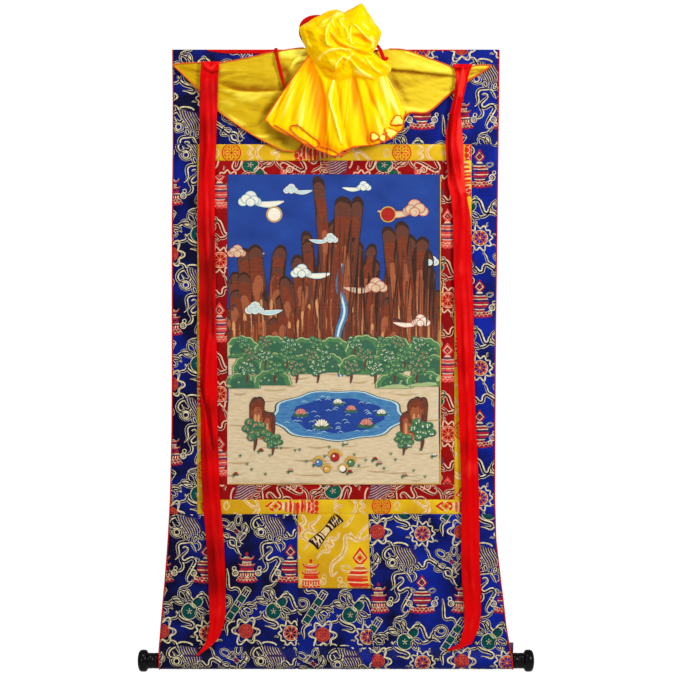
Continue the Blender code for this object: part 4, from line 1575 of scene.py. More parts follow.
@dataclass
class Mount:
    """The brocade mount: blue panels, yellow and red strips, and the patch."""

    kit: ShaderKit
    seam_top: float = 200.0
    seam_bottom: float = 980.0
    yellow: Box = (-290.5, 288.0, 200.0, 980.0)
    red: Box = (-256.5, 252.0, 234.5, 949.5)
    picture: Box = PICTURE_BOX
    patch_bottom: float = 1136.0

    def blue_panels(self) -> List[Panel]:
        """The six pieces of the outer mount."""
        end = HUNG.end() - 0.3
        left, right = straight(self.yellow[0]), straight(self.yellow[1])
        return [
            Panel("brocade_top", HUNG.left, HUNG.right, 0.15, self.seam_top, at(422.5, 50)),
            Panel("brocade_left", HUNG.left, left, self.seam_top, self.seam_bottom, at(216, 126)),
            Panel("brocade_right", right, HUNG.right, self.seam_top, self.seam_bottom, at(480, 108)),
            Panel("brocade_lower_left", HUNG.left, HUNG.middle_left, self.seam_bottom, end, at(207, 633)),
            Panel(
                "brocade_lower_middle", HUNG.middle_left, HUNG.middle_right, self.patch_bottom, end,
                at(367.8, 636.7)),
            Panel(
                "brocade_lower_right", HUNG.middle_right, HUNG.right, self.seam_bottom, end, at(422.4, 533.7))
        ]

    def frame_panels(self, name: str, outer: Box, inner: Box, wheels: Sequence[Pair]) -> List[Panel]:
        """Four strips between two rectangles, the level ones turned.

        Args:
            name: Start of the four names.
            outer, inner: The rectangles' left, right, top and bottom.
            wheels: Where a wheel lies on each strip.

        Returns:
            Top, bottom, left and right strip.
        """
        left, right, in_left, in_right = map(straight, (*outer[:2], *inner[:2]))
        (top, bottom), (in_top, in_bottom) = outer[2:], inner[2:]
        return [
            Panel(f"{name}_top", left, right, top, in_top, wheels[0], Way.TURNED),
            Panel(f"{name}_bottom", left, right, in_bottom, bottom, wheels[1], Way.TURNED_BACK),
            Panel(f"{name}_left", left, in_left, in_top, in_bottom, wheels[2]),
            Panel(f"{name}_right", in_right, right, in_top, in_bottom, wheels[3])
        ]

    def build(self) -> None:
        """Sews the panels and weaves their figures."""
        tree = Brocade.array_tree()
        blue = Brocade(BLUE_BROCADE, PatternRepeat(FIELD), self.kit, tree)
        panels = self.blue_panels()
        blue.sew(panels, 8.0)
        behind_veil = straight(-40)
        halves = [
            replace(panels[0], left=behind_veil), replace(panels[0], right=behind_veil, wheel=at(208.5, 98))
        ]
        blue.weave(halves + panels[1:])
        wheels = (at(231.5, 152.8), at(381.5, 506), at(205, 300), at(463, 260))
        strips = self.frame_panels("yellow", self.yellow, self.red, wheels)
        patch = Panel(
            "door_patch", HUNG.middle_left, HUNG.middle_right, self.seam_bottom, self.patch_bottom,
            at(360, 493), sag=4.0
        )
        yellow = Brocade(YELLOW_BROCADE, PatternRepeat(LARGE_FIELD), self.kit, tree)
        yellow.sew(strips + [patch], 6.0)
        yellow.weave(strips + [patch])
        wheels = (at(361.6, 183), at(221.8, 473), at(220, 260), at(448, 300))
        strips = self.frame_panels("red", self.red, self.picture, wheels)
        red = Brocade(RED_BROCADE, PatternRepeat(SMALL_FIELD), self.kit, tree)
        red.sew(strips, 6.0)
        red.weave(strips)


class Pigment(Enum):
    """Pigments of the painting: two screen shades brushed into each other."""

    SKY = ((26, 54, 128), (38, 70, 148))
    LINE = ((48, 32, 26), (64, 42, 34))
    UMBER = ((88, 52, 40), (104, 60, 46))
    BROWN = ((106, 46, 28), (128, 60, 36))
    SIENNA = ((146, 78, 48), (164, 92, 58))
    OCHRE = ((192, 134, 84), (206, 150, 96))
    GREEN = ((46, 88, 66), (62, 104, 78))
    LEAF = ((64, 112, 70), (84, 128, 80))
    MOSS = ((146, 168, 112), (168, 184, 128))
    WATER = ((52, 104, 156), (78, 132, 172))
    FOAM = ((160, 196, 204), (186, 212, 214))
    WHITE = ((240, 232, 212), (226, 214, 190))
    CREAM = ((216, 197, 162), (198, 176, 138))
    TAN = ((186, 160, 120), (172, 144, 104))
    RED = ((178, 40, 30), (156, 30, 26))
    PINK = ((218, 146, 128), (204, 124, 110))
    GOLD = ((214, 168, 78), (196, 146, 60))


@dataclass
class Picture:
    """Layered painted shapes on the canvas, in millimetres of the mount.

    Attributes:
        panel: The canvas.
        random: Seeded numbers for the uneven shapes.
        shapes, slots: Triangles drawn so far, and the pigment's number of each.
        lift: Height of the present layer over the canvas; the others are where each part starts.
    """

    panel: Panel
    random: np.random.Generator = field(default_factory=lambda: np.random.default_rng(17))
    shapes: Gathered = field(default_factory=Gathered)
    slots: List[Numbers] = field(default_factory=list)
    lift: float = 0.2
    peak_lift: float = 0.35
    fall_lift: float = 0.9
    hill_lift: float = 1.15
    lake_lift: float = 1.55

    def add(self, pigment: Pigment, points: Numbers, faces: Numbers) -> None:
        """Adds triangles of one pigment on the present layer, kept on the canvas.

        Args:
            pigment: Their pigment.
            points, faces: The triangles.
        """
        edge = 0.1
        x = np.clip(points[:, 0], float(self.panel.left(0)) + edge, float(self.panel.right(0)) - edge)
        s = np.clip(points[:, 1], self.panel.top + edge, self.panel.bottom - edge)
        area = twice_area(x, s, faces)
        faces = np.where((area > 0)[:, None], faces[:, ::-1], faces)[np.abs(area) > 1e-3]
        self.shapes.add(joined(x, s, self.lift), faces)
        self.slots.append(np.full(len(faces), list(Pigment).index(pigment)))

    def fill(self, pigment: Pigment, outline: Rows, step: float = 16.0) -> None:
        """A filled outline, fine enough to follow the canvas.

        Args:
            pigment: Its pigment.
            outline: Its edge.
            step: Spacing of the points inside.
        """
        points = [tuple(map(float, p)) for p in outline]
        xs, ys = (
            np.arange(low + step / 2, high, step) for low,
            high in zip(np.min(points, axis=0), np.max(points, axis=0))
        )
        places = [Vector(p) for p in points + [(x, y) for x in xs for y in ys]]
        verts, _, faces, *_ = delaunay_2d_cdt(places, [], [list(range(len(points)))], 1, 1e-5)
        if faces:
            self.add(pigment, np.array([tuple(v) for v in verts]), np.array([f[:3] for f in faces]))

    def stroke(self, pigment: Pigment, line: Rows, width: float, steps: int = 12, taper: float = 0.3) -> None:
        """A brush line that thins to its ends.

        Args:
            pigment: Its pigment.
            line: Points of its middle.
            width: At its middle.
            steps: Number of parts.
            taper: Share of the width at its ends.
        """
        t = shares(steps + 1)
        points = along(line, t)
        half = width / 2 * (taper + (1 - taper) * np.sin(pi * np.clip(t, 0.05, 0.95)))
        side = sideways(points) * half[:, None]
        self.add(pigment, np.concatenate([points - side, points + side]), strip(np.arange(steps), steps + 1))

    def oval(
        self, pigment: Pigment, x: float, y: float, rx: float, ry: float = 0.0, turn: float = 0.0
    ) -> None:
        """A filled oval."""
        angles = np.linspace(0, 2 * pi, 14 if rx < 6 else 28, endpoint=False)
        self.fill(pigment, FigureSheet.oval(x, y, rx, ry or rx, turn, angles))

    def raised(self, by: float = 0.05) -> "Picture":
        """Goes to the next layer."""
        self.lift += by
        return self

    def crag(self, x: float, foot: float, wide: float, tall: float) -> None:
        """A rounded finger of rock in four shades, with cracks.

        Args:
            x, foot: Middle of its foot.
            wide, tall: Its size.
        """
        lean, start = self.random.uniform(-0.12, 0.12), self.lift
        u = np.linspace(pi, 0, 13)
        wobble = 1 + 0.1 * np.sin(3 * u + self.random.uniform(0, 6))
        top = joined(wide / 2 * np.cos(u) * wobble, -tall + (1 - np.sin(u)) * wide * 0.7)
        outline = np.concatenate([[(-wide * 0.55, 0)], top, [(wide * 0.55, 0)]])
        outline[:, 0] += lean * -outline[:, 1]
        for pigment, share in (
            (Pigment.LINE, 1.0), (Pigment.UMBER, 0.95), (Pigment.BROWN, 0.82), (Pigment.SIENNA, 0.56),
            (Pigment.OCHRE, 0.22)
        ):
            shape = outline * [share, 0.35 + 0.65 * share] + [x - wide * 0.12 * (1 - share), foot]
            self.fill(pigment, shape)
            self.raised(0.012)
        for k in range(3):
            sx, sy = x + wide * (0.12 + 0.11 * k), foot - tall * self.random.uniform(0.35, 0.8)
            line = [(sx, sy), (sx + wide * 0.04, sy + tall * 0.12), (sx - wide * 0.03, sy + tall * 0.25)]
            self.stroke(Pigment.LINE, line, 0.9, 6)
        self.lift = start + 0.006

    def hill(self, x: float, foot: float, wide: float, tall: float) -> None:
        """A green hill with a scalloped edge.

        Args:
            x, foot: Middle of its foot.
            wide, tall: Its size.
        """
        u = np.linspace(pi, 0, 41)
        bumps = 1 + 0.07 * np.abs(np.sin(u * 6 + self.random.uniform(0, 3)))
        outline = joined(wide / 2 * np.cos(u) * bumps, -tall * np.sin(u) ** 0.8 * bumps)
        for pigment, share in (
            (Pigment.LINE, 1.0), (Pigment.MOSS, 0.975), (Pigment.LEAF, 0.9), (Pigment.GREEN, 0.66)
        ):
            self.fill(pigment, outline * [share, 0.3 + 0.7 * share] + [x, foot])
            self.raised(0.012)
        for _ in range(5):
            gx = x + wide * self.random.uniform(-0.32, 0.32)
            self.tuft(gx, foot - tall * self.random.uniform(0.2, 0.7), 5)
        self.lift -= 0.04

    def tuft(self, x: float, y: float, size: float, pigment: Pigment = Pigment.MOSS) -> None:
        """A small tuft of grass."""
        for turn in (-0.6, -0.2, 0.2, 0.6):
            tip = (x + size * sin(turn), y - size * cos(turn))
            self.stroke(pigment, [(x, y), ((x + tip[0]) / 2, (y + tip[1]) / 2 - 0.5), tip], 1.0, 4, 0.2)

    def tree(self, x: float, foot: float, size: float, bloom: Pigment = Pigment.MOSS) -> None:
        """A tree with a crown of leaf balls, dotted with light leaves or blossoms.

        Args:
            x, foot: Its foot.
            size: Its height.
            bloom: Pigment of its dots.
        """
        self.stroke(
            Pigment.UMBER, [(x, foot), (x + size * 0.06, foot - size * 0.4), (x, foot - size * 0.75)],
            size * 0.14
        )
        self.raised()
        for k in range(9):
            angle, reach = 2.4 * k, size * 0.13 * sqrt(k)
            cx, cy = x + reach * cos(angle) * 1.2, foot - size * 0.85 + reach * sin(angle)
            self.oval(Pigment.GREEN, cx, cy, size * 0.2, size * 0.16)
            self.raised(0.004)
            self.oval(Pigment.LEAF, cx - size * 0.03, cy - size * 0.04, size * 0.14, size * 0.1)
            self.raised(0.004)
            for _ in range(4):
                dot = self.random.uniform(-0.11, 0.11, 2) * size
                self.oval(bloom, cx + dot[0], cy + dot[1] * 0.7, size * 0.026)
            self.raised(0.004)
        self.lift -= 0.15

    def cloud(self, x: float, y: float, size: float, way: int, main: Pigment, rim: Pigment) -> None:
        """A bank of curled cloud with a trailing end.

        Args:
            x, y, size: Its middle and size.
            way: 1 if it trails to the right, else -1.
            main, rim: Its two pigments.
        """
        tail = [
            (x, y + size * 0.2), (x + way * size * 1.4, y + size * 0.34),
            (x + way * size * 2.6, y + size * 0.1)
        ]
        for pigment, width in ((Pigment.LINE, 0.58), (rim, 0.5), (main, 0.34)):
            self.stroke(pigment, tail, size * width, 14, 0.05)
            self.raised(0.01)
        for k, (dx, dy, r) in enumerate(
            (
                (0.5, 0.1, 0.36), (-0.6, 0.12, 0.4), (0.0, -0.3, 0.5), (-0.35, -0.1, 0.42), (0.3, 0.0, 0.4),
                (0.0, 0.16, 0.38))
        ):
            cx, cy = x + way * dx * size, y + dy * size
            for pigment, share in ((Pigment.LINE, 1.0), (rim, 0.94), (main, 0.74)):
                self.oval(pigment, cx, cy, r * size * share, r * size * share * 0.9)
                self.raised(0.006)
            u = np.linspace(0, 4.4, 12)
            spiral = r * size * (0.52 - 0.09 * u)
            curl = joined(cx + way * spiral * np.cos(u + 2.6 + k), cy + spiral * np.sin(u + 2.6 + k))
            self.stroke(rim, curl, size * 0.06, 16, 0.3)
            self.raised(0.006)
        self.lift -= 0.16

    def lotus(self, x: float, y: float, size: float, petal: Pigment) -> None:
        """An open lotus on its leaf.

        Args:
            x, y, size: Its middle and size.
            petal: Pigment of its petals.
        """
        self.oval(Pigment.GREEN, x, y + size * 0.45, size * 1.1, size * 0.34)
        self.raised(0.01)
        for turn in (-75, 75, -48, 48, -24, 24, 0):
            a = radians(turn)
            cx, cy = x + size * 0.42 * sin(a), y - size * 0.36 * cos(a) + size * 0.3
            self.oval(Pigment.LINE, cx, cy, size * 0.2, size * 0.46, turn)
            self.raised(0.004)
            self.oval(petal, cx, cy, size * 0.16, size * 0.41, turn)
            self.raised(0.004)
        self.lift -= 0.06

    def jewel(self, x: float, y: float, size: float, pigment: Pigment) -> None:
        """A round jewel with a flame rim.

        Args:
            x, y, size: Its middle and size.
            pigment: Its pigment.
        """
        for k in range(7):
            a = radians(-160 + 140 / 6 * k)
            tip = (x + size * 1.5 * cos(a), y + size * 1.6 * sin(a))
            self.stroke(Pigment.GOLD, [(x, y), ((x + tip[0]) / 2, (y + tip[1]) / 2), tip], size * 0.5, 5, 0.1)
        for shade, share in ((Pigment.LINE, 0.8), (pigment, 0.72), (Pigment.WHITE, 0.2)):
            self.raised(0.01)
            off = 0.22 * size if shade is Pigment.WHITE else 0.0
            self.oval(shade, x - off, y - off, size * share)
        self.lift -= 0.03

    def paint(self) -> None:
        """The whole design, from the far sky to the near ground."""
        self.sky()
        self.peaks()
        self.hills()
        self.lake()
        self.foreground()

    def sky(self) -> None:
        """Pale ground below the horizon, clouds, and two round lights."""
        horizon, low = 585.0, 917.5
        wave = [(x, horizon + 3 * sin(x / 60)) for x in np.linspace(-227, 224, 40)]
        self.fill(Pigment.CREAM, [*wave, (224, low), (-227, low)], 7.0)
        self.raised(0.04)
        for _ in range(70):
            x, y = self.random.uniform(-220, 216), self.random.uniform(horizon + 12, low - 8)
            long = self.random.uniform(12, 40)
            self.stroke(
                Pigment.TAN, [(x - long, y), (x, y + 2), (x + long, y - 1)], self.random.uniform(1.5, 5), 8,
                0.1
            )
        self.raised(0.05)
        for cloud in (
            (-178, 318, 27, 1, Pigment.WHITE, Pigment.FOAM), (168, 338, 30, -1, Pigment.CREAM, Pigment.PINK),
            (-92, 296, 17, 1, Pigment.FOAM, Pigment.WHITE), (60, 290, 17, -1, Pigment.WHITE, Pigment.FOAM),
            (198, 446, 22, -1, Pigment.FOAM, Pigment.WHITE), (-206, 428, 22, 1, Pigment.CREAM, Pigment.PINK)
        ):
            self.cloud(*cloud)
        for x, main in ((-128, Pigment.WHITE), (112, Pigment.RED)):
            for shade, reach in ((Pigment.GOLD, 17), (Pigment.LINE, 14.6), (main, 13.8)):
                self.oval(shade, x, 348, reach)
                self.raised(0.01)

    def peaks(self) -> None:
        """Three groups of peaks, a waterfall, and clouds before them."""
        self.lift = self.peak_lift
        for middle, foot, wide, tall, many in (
            (-148, 640, 190, 236, 15), (152, 640, 180, 262, 15), (0, 668, 270, 352, 27)
        ):
            for k in range(many):
                place = (k + 0.5) / many * 2 - 1
                place = place if k % 2 else -place
                height = tall * (1 - abs(place)) ** 0.75 * self.random.uniform(0.82, 1.05) + 34
                self.crag(middle + place * wide / 2, foot, wide / many * 2.5, height)
        self.lift = self.fall_lift
        falls = [(14, 452), (8, 500), (20, 552), (6, 606), (12, 690)]
        for pigment, width in (
            (Pigment.LINE, 17), (Pigment.WATER, 15), (Pigment.FOAM, 5), (Pigment.WHITE, 1.8)
        ):
            self.stroke(pigment, falls, width, 30, 0.6)
            self.raised(0.02)
        for cloud in (
            (-70, 470, 24, 1, Pigment.WHITE, Pigment.FOAM), (86, 500, 26, -1, Pigment.CREAM, Pigment.PINK),
            (-168, 548, 22, 1, Pigment.FOAM, Pigment.WHITE), (180, 574, 22, -1, Pigment.WHITE, Pigment.PINK),
            (-10, 400, 17, -1, Pigment.FOAM, Pigment.WHITE)
        ):
            self.cloud(*cloud)

    def hills(self) -> None:
        """Three rows of hills with trees."""
        self.lift = self.hill_lift
        for row, (foot, tall, many) in enumerate(((652, 46, 7), (682, 40, 8), (712, 32, 7))):
            for k in range(many):
                x = -212 + 424 * (k + 0.25 + 0.3 * (row % 2)) / (many - 0.4)
                if row == 2 and abs(x - 6) < 90:
                    continue
                self.hill(x, foot + self.random.uniform(-4, 4), 424 / many * 1.3, tall)
                self.raised(0.008)
            for k in range(many + 2):
                x = -205 + 410 * (k + self.random.uniform(0.2, 0.8)) / (many + 2)
                if abs(x - 10) > 20:
                    bloom = (Pigment.MOSS, Pigment.PINK, Pigment.WHITE)[(k + row) % 3]
                    self.tree(x, foot - 8, 30 + 4 * row, bloom)
            self.raised(0.06)

    def lake(self) -> None:
        """A lake with ripples and lotus flowers."""
        self.lift = self.lake_lift
        for shade, share in (
            (Pigment.LINE, 1.02), (Pigment.FOAM, 1.0), (Pigment.WATER, 0.96), (Pigment.SKY, 0.7)
        ):
            u = np.linspace(0, 2 * pi, 60, endpoint=False)
            reach = 1 + 0.04 * np.sin(u * 9)
            self.fill(
                shade, joined(6 + 138 * share * reach * np.cos(u), 772 + 52 * share * reach * np.sin(u))
            )
            self.raised(0.02)
        for _ in range(46):
            a, r = self.random.uniform(0, 6.28), sqrt(self.random.uniform(0.02, 0.86))
            x, y = 6 + 126 * r * cos(a), 772 + 46 * r * sin(a)
            self.stroke(Pigment.FOAM, [(x - 6, y + 1), (x, y - 2), (x + 6, y + 1)], 1.1, 6)
        self.raised(0.02)
        for lotus in (
            (-72, 764, 15, Pigment.PINK), (-28, 788, 18, Pigment.WHITE), (34, 756, 13, Pigment.PINK),
            (66, 786, 17, Pigment.PINK), (6, 742, 12, Pigment.WHITE), (98, 764, 12, Pigment.WHITE)
        ):
            self.lotus(*lotus)

    def foreground(self) -> None:
        """Rocks and trees at both sides, tufts and flowers, jewels, and gold lines at two edges."""
        for side in (-1, 1):
            for k in range(9):
                x = 6 + side * (146 + 9 * (k % 4))
                self.crag(x, 812 + 5 * (k % 3) - 6 * (k // 3), 24, 46 + 9 * ((k * 5) % 4))
            self.raised(0.06)
            self.tree(6 + side * 176, 846, 52, Pigment.PINK if side < 0 else Pigment.WHITE)
            self.tree(6 + side * 138, 856, 38, Pigment.MOSS)
        self.raised(0.05)
        for k in range(34):
            x, y = -214 + 428 * ((k * 0.618) % 1), 838 + 68 * self.random.uniform(0, 1)
            self.tuft(x, y, 7, Pigment.GREEN if k % 2 else Pigment.LEAF)
            if k % 3 == 0:
                self.lotus(x + 5, y - 9, 6, (Pigment.RED, Pigment.WHITE, Pigment.PINK)[k % 9 // 3])
        for jewel in (
            (-34, 872, 10, Pigment.WATER), (0, 860, 12, Pigment.RED), (34, 872, 10, Pigment.LEAF),
            (-17, 886, 9, Pigment.GOLD), (18, 886, 9, Pigment.WHITE)
        ):
            self.raised(0.04)
            self.jewel(*jewel)
        self.raised(0.05)
        for line in ([(222.4, 266), (222.6, 590), (222.4, 916)], [(-225, 916.2), (0, 916.6), (222, 916.2)]):
            self.stroke(Pigment.GOLD, line, 2.0, 60, 1.0)

    def build(self, kit: ShaderKit) -> None:
        """Hangs the painted shapes with the canvas as one piece."""
        looks = [PaintFinish(f"{p.name.lower()} pigment", *p.value).build(kit) for p in Pigment]
        flat, faces = self.shapes.all()
        places = world(self.panel.place(flat[:, 0], flat[:, 1], flat[:, 2] + CANVAS_THICKNESS / 2))
        slots = np.concatenate(self.slots)
        piece = make_object("painting_design", places, faces.tolist(), looks, flat[:, :2] * MM, slots)
        as_piece(piece, "canvas")


@dataclass
class Painting:
    """The painting on canvas, with a generic design of its own."""

    kit: ShaderKit
    box: Box = PICTURE_BOX

    def build(self) -> None:
        """Builds the canvas and its design."""
        left, right, top, bottom = self.box
        panel = Panel("painting", straight(left), straight(right), top, bottom, (0, 0), tuck=0.0)
        points, flat = panel.grid(7.0)
        sky = PaintFinish("canvas ground pigment", *Pigment.SKY.value, 14.0, 1.5)
        looks = [sky.build(self.kit), CANVAS_BACK.build(self.kit)]
        piece = cloth_body("painting_canvas", points, flat, CANVAS_THICKNESS, looks)
        as_piece(piece, "canvas", ["painting"])
        picture = Picture(panel)
        picture.paint()
        picture.build(self.kit)


# --- Ribbons, tape, tie and piping

RIBBON_LEFT = (
    (27, -282, -243, 15, 1.0, 0.5), (34, -281.5, -243.5, 17, 3.0, 0.8), (62, -284, -245.5, 16, 2.5, 0.3),
    (128, -285, -247.5, 14, 3.0, 0.4), (212, -285.5, -250.5, 9, 5.0, 0.5), (286, -288, -253, 8, 4.0, 0.4),
    (381, -289.5, -253, 8, 3.0, 0.5), (455, -286, -251.5, 8, 4.0, 0.6), (592, -286, -250, 8, 4.0, 0.6),
    (668, -284, -247.5, 8, 5.5, 0.35), (765, -283, -247, 8, 5.5, 0.3), (862, -282.5, -245, 8, 3.5, 0.4),
    (951, -278.5, -241, 8, 3.0, 0.5), (1033, -271, -233.5, 8, 3.5, 0.5), (1130, -266, -229.5, 9, 4.0, 0.6),
    (1185, -264.5, -229.5, 9, 3.0, 0.6), (1212, -263.5, -233.5, 9, 2.0, 0.5),
    (1240, -268.5, -244.5, 11, 1.2, 0.5), (1257, -276.5, -260.5, 12.5, 0.8, 0.5),
    (1279, -293, -290.5, 15, 0.3, 0.5)
)
RIBBON_RIGHT = (
    (33, 249.5, 288, 17, 1.0, 0.5), (39, 249.5, 288, 20, 4.0, 0.5), (48, 252.5, 283.5, 19, 7.0, 0.5),
    (64, 254.5, 279.5, 18, 9.0, 0.45), (107, 248.5, 269, 16, 10.0, 0.4), (138, 241, 264, 15, 9.0, 0.4),
    (170, 234.5, 267.5, 13, 7.0, 0.35), (202, 233, 270.5, 11, 7.0, 0.3), (243, 235, 271.5, 9, 6.0, 0.4),
    (286, 237.5, 274, 8, 6.0, 0.6), (310, 243.5, 277.5, 8, 6.5, 0.65), (358, 248.5, 286, 8, 3.5, 0.5),
    (455, 249.5, 288.5, 8, 3.0, 0.4), (552, 253, 292, 8, 4.5, 0.45), (668, 258, 293.5, 8, 5.5, 0.5),
    (765, 260.5, 295.5, 8, 5.0, 0.6), (862, 264, 300.5, 8, 4.0, 0.5), (951, 266.5, 303.5, 8, 3.5, 0.4),
    (1077, 265.5, 304.5, 8, 3.0, 0.5), (1130, 268, 306.5, 9, 3.5, 0.6), (1183, 272, 307.5, 9, 3.0, 0.6),
    (1217, 271.5, 304.5, 9, 2.0, 0.5), (1252, 262.5, 288, 11.5, 1.2, 0.5), (1263, 238, 263, 13, 0.8, 0.5),
    (1268, 234, 238, 14, 0.3, 0.5)
)

# Creases of the ribbons, in the columns of the knot's creases; rows that do not rise are painted shade alone.
RIBBON_LEFT_CREASES = (
    (0.6, 6, 0, 0.42, -272, 36, -262, 42, -254, 38), (-1, 4, 0, -0.5, -281, 38, -262, 50, -246, 48),
    (-2, 7, 1, -0.5, -286, 700, -272, 760, -258, 840), (-2, 8, -1, -0.5, -254, 400, -262, 500, -256, 600),
    (0, 30, 0, -0.45, -262, 1050, -258, 1100, -250, 1140),
    (0, 34, 0, -0.2, -272, 120, -266, 420, -270, 700, -264, 1000)
)
RIBBON_RIGHT_CREASES = (
    (1, 5, 0, 0.9, 258, 52, 262, 76, 264, 98), (1, 4, 0, 0.7, 268, 42, 270, 60, 268, 80),
    (1.5, 5, 0, 0.8, 262, 150, 264, 190, 269, 240, 270, 300), (-1, 4, 0, -0.5, 252, 44, 262, 44, 278, 42),
    (-2, 6, 1, -0.5, 240, 140, 238, 200, 242, 280)
)


@dataclass
class Ribbon:
    """One hanging satin ribbon with its lengthwise folds."""

    name: str
    table: Rows
    seed: int
    creases: Rows
    cut_width: float = 38.0
    cut_length: float = 1255.0
    thickness: float = 0.5

    def points(self, rows: int = 420, steps: int = 22) -> Arrays:
        """Its surface and flat places.

        Args:
            rows, steps: Parts along and across.

        Returns:
            Hung points, and their flat places.
        """
        drops, across = [row[0] for row in self.table], shares(steps + 1)
        drop = np.interp(shares(rows + 1), shares(len(drops)), drops)[:, None]
        left, right, depth, fold, where = (looked_up(self.table, drop, i) for i in range(1, 6))
        x = left + (right - left) * across
        ridge = bump(across, where, 0.16) + 0.45 * bump(across, where + 0.33, 0.1)
        sway = 1.2 * np.sin(drop / 37 + 5 * across) * fade(drop, 60, 200)
        fine = 0.35 * ripple(x, drop / 5, self.seed, 14.0)
        y = depth + HUNG.slack(x, drop) + fold * ridge + sway + fine
        return joined(x, y, drop), joined(across * self.cut_width, drop)

    def build(self, look: Material) -> None:
        """Builds the ribbon."""
        points, flat = self.points()
        # Fold values: painted shade in the valleys and painted highlights on the ridges, with the creases'
        # painted highlights and shade and a painted sheen.
        height, painted_shading = creased(self.creases, points[..., 0], points[..., 2])
        sheen = 0.13 * ripple(points[..., 0] / 3, points[..., 2], self.seed + 1, 80.0)
        folds = np.clip(fold_values(points[..., 1], 0.05, 7) + painted_shading + sheen, 0, 1)
        points[..., 1] += height
        piece = cloth_body(f"{self.name}_satin", points, flat, self.thickness, [look], folds)
        as_piece(piece, "red_satin", [self.name])


TIE = (
    (-58, -8, 4, 5.0), (-70, -32, 4, 5.5), (-66, -54, 4, 6.5), (-50, -65, 4, 6.0), (-26, -66, 3.5, 5.0),
    (4, -54, 3.5, 5.0), (32, -38, 3.5, 5.0), (60, -22, 3.5, 4.5), (80, -11, 5, 4.0), (89, -6, 11, 3.5),
    (94.5, 2, 20, 3.5), (99, 13, 23, 4.0), (102, 21, 24, 4.0), (107, 23, 24, 3.5), (111, 19, 23, 2.5)
)
TIE_TAIL = (
    (-106, 82, 18, 1.6), (-111, 62, 17, 3.6), (-116, 42, 16, 3.9), (-121, 22, 15, 3.6), (-124, 6, 10, 3.4),
    (-124.5, 0, 5.5, 3.4), (-124.5, -2.4, 2, 3.4), (-124.5, -2.2, -1, 3.4), (-124.5, 2, -2.9, 3.4),
    (-124, 20, -2.9, 3.4)
)


@dataclass
class Tie:
    """The red tie behind the knot, and its tail over the top edge."""

    thickness: float = 0.7
    cut_width: float = 11.0

    def _strap(self, name: str, rows: Numbers, side: Numbers, look: Material) -> None:
        """Builds one strap from its middle line and its sideways direction.

        Args:
            name: The CAD node.
            rows: x, drop, depth and half width along its middle.
            side: Its sideways direction at each row.
            look: Its material.
        """
        run = np.concatenate([[0], np.cumsum(np.linalg.norm(np.diff(rows[:, :3], axis=0), axis=1))])
        share = np.linspace(-1, 1, 7)[:, None]
        x = rows[:, 0] + side[:, 0] * rows[:, 3] * share
        drop = rows[:, 1] + side[:, 1] * rows[:, 3] * share
        depth = rows[:, 2] + 0.9 * (1 - share * share) + 0.25 * np.sin(run / 3.1 + 2 * share)
        points = joined(x, depth, drop)
        piece = cloth_body(f"{name}_cloth", points, joined(run, share * 6), self.thickness, [look])
        as_piece(piece, "red_tie", [name])
        size = (self.cut_width * MM, float(run[-1]) * MM)
        min(sheet_area(points), size[0] * size[1])

    def build(self, look: Material) -> None:
        """Builds the tie and its tail."""
        rows = along(TIE, shares(141))
        self._strap("tie", rows, sideways(rows[:, :2]), look)
        rows = along(TIE_TAIL, shares(101))
        side = np.tile([1.0, 0.0], (len(rows), 1))
        self._strap("tie_tail", rows, side, look)


@dataclass
class HeadingTape:
    """The red tape sewn over the top edge."""

    table: Tuple[Pair, ...] = ((-270, 2), (-255, 5), (-225, 8), (-130, 8.5), (0, 5), (130, 3), (276, 2))
    thickness: float = 0.8
    cut_width: float = 0.010
    length: float = 0.546

    def build(self, look: Material) -> None:
        """Builds the tape."""
        x, wide = along(self.table, shares(181)).T
        drop = 0.3 + wide * shares(6)[:, None]
        depth = 1.6 + 0.15 * np.sin(x / 5) + 0.3 * np.sin(x / 23)
        piece = cloth_body(
            "heading_tape_cloth", joined(x, depth, drop), joined(x, drop), self.thickness, [look]
        )
        as_piece(piece, "red_tape", ["heading_tape"])


def swept_piece(
    name: str, line: Numbers, tree: NodeTree, look: Material, slot: str, replaces: Sequence[str] = (),
    **values: float
) -> Object:
    """A piece that a geometry tree grows along a line.

    Args:
        name: The piece's name.
        line: Points of x, depth and drop.
        tree: The geometry tree.
        look: Its material.
        slot: Its slot.
        replaces: CAD nodes that it stands for.
        **values: The tree's other inputs by their lower-case names.

    Returns:
        The piece.
    """
    mesh = bpy.data.meshes.new("path")
    mesh.from_pydata(world(line).tolist(), [(i, i + 1) for i in range(len(line) - 1)], [])
    host = bpy.data.objects.new("path", mesh)
    bpy.context.scene.collection.objects.link(host)
    inputs = {"Finish": look, **{key.title(): value for key, value in values.items()}}
    places, faces = triangles_of(grown(host, tree, inputs))
    uv = joined(places[:, 0] + places[:, 1], places[:, 2])
    return as_piece(make_object(name, places, faces.tolist(), [look], uv), slot, replaces)


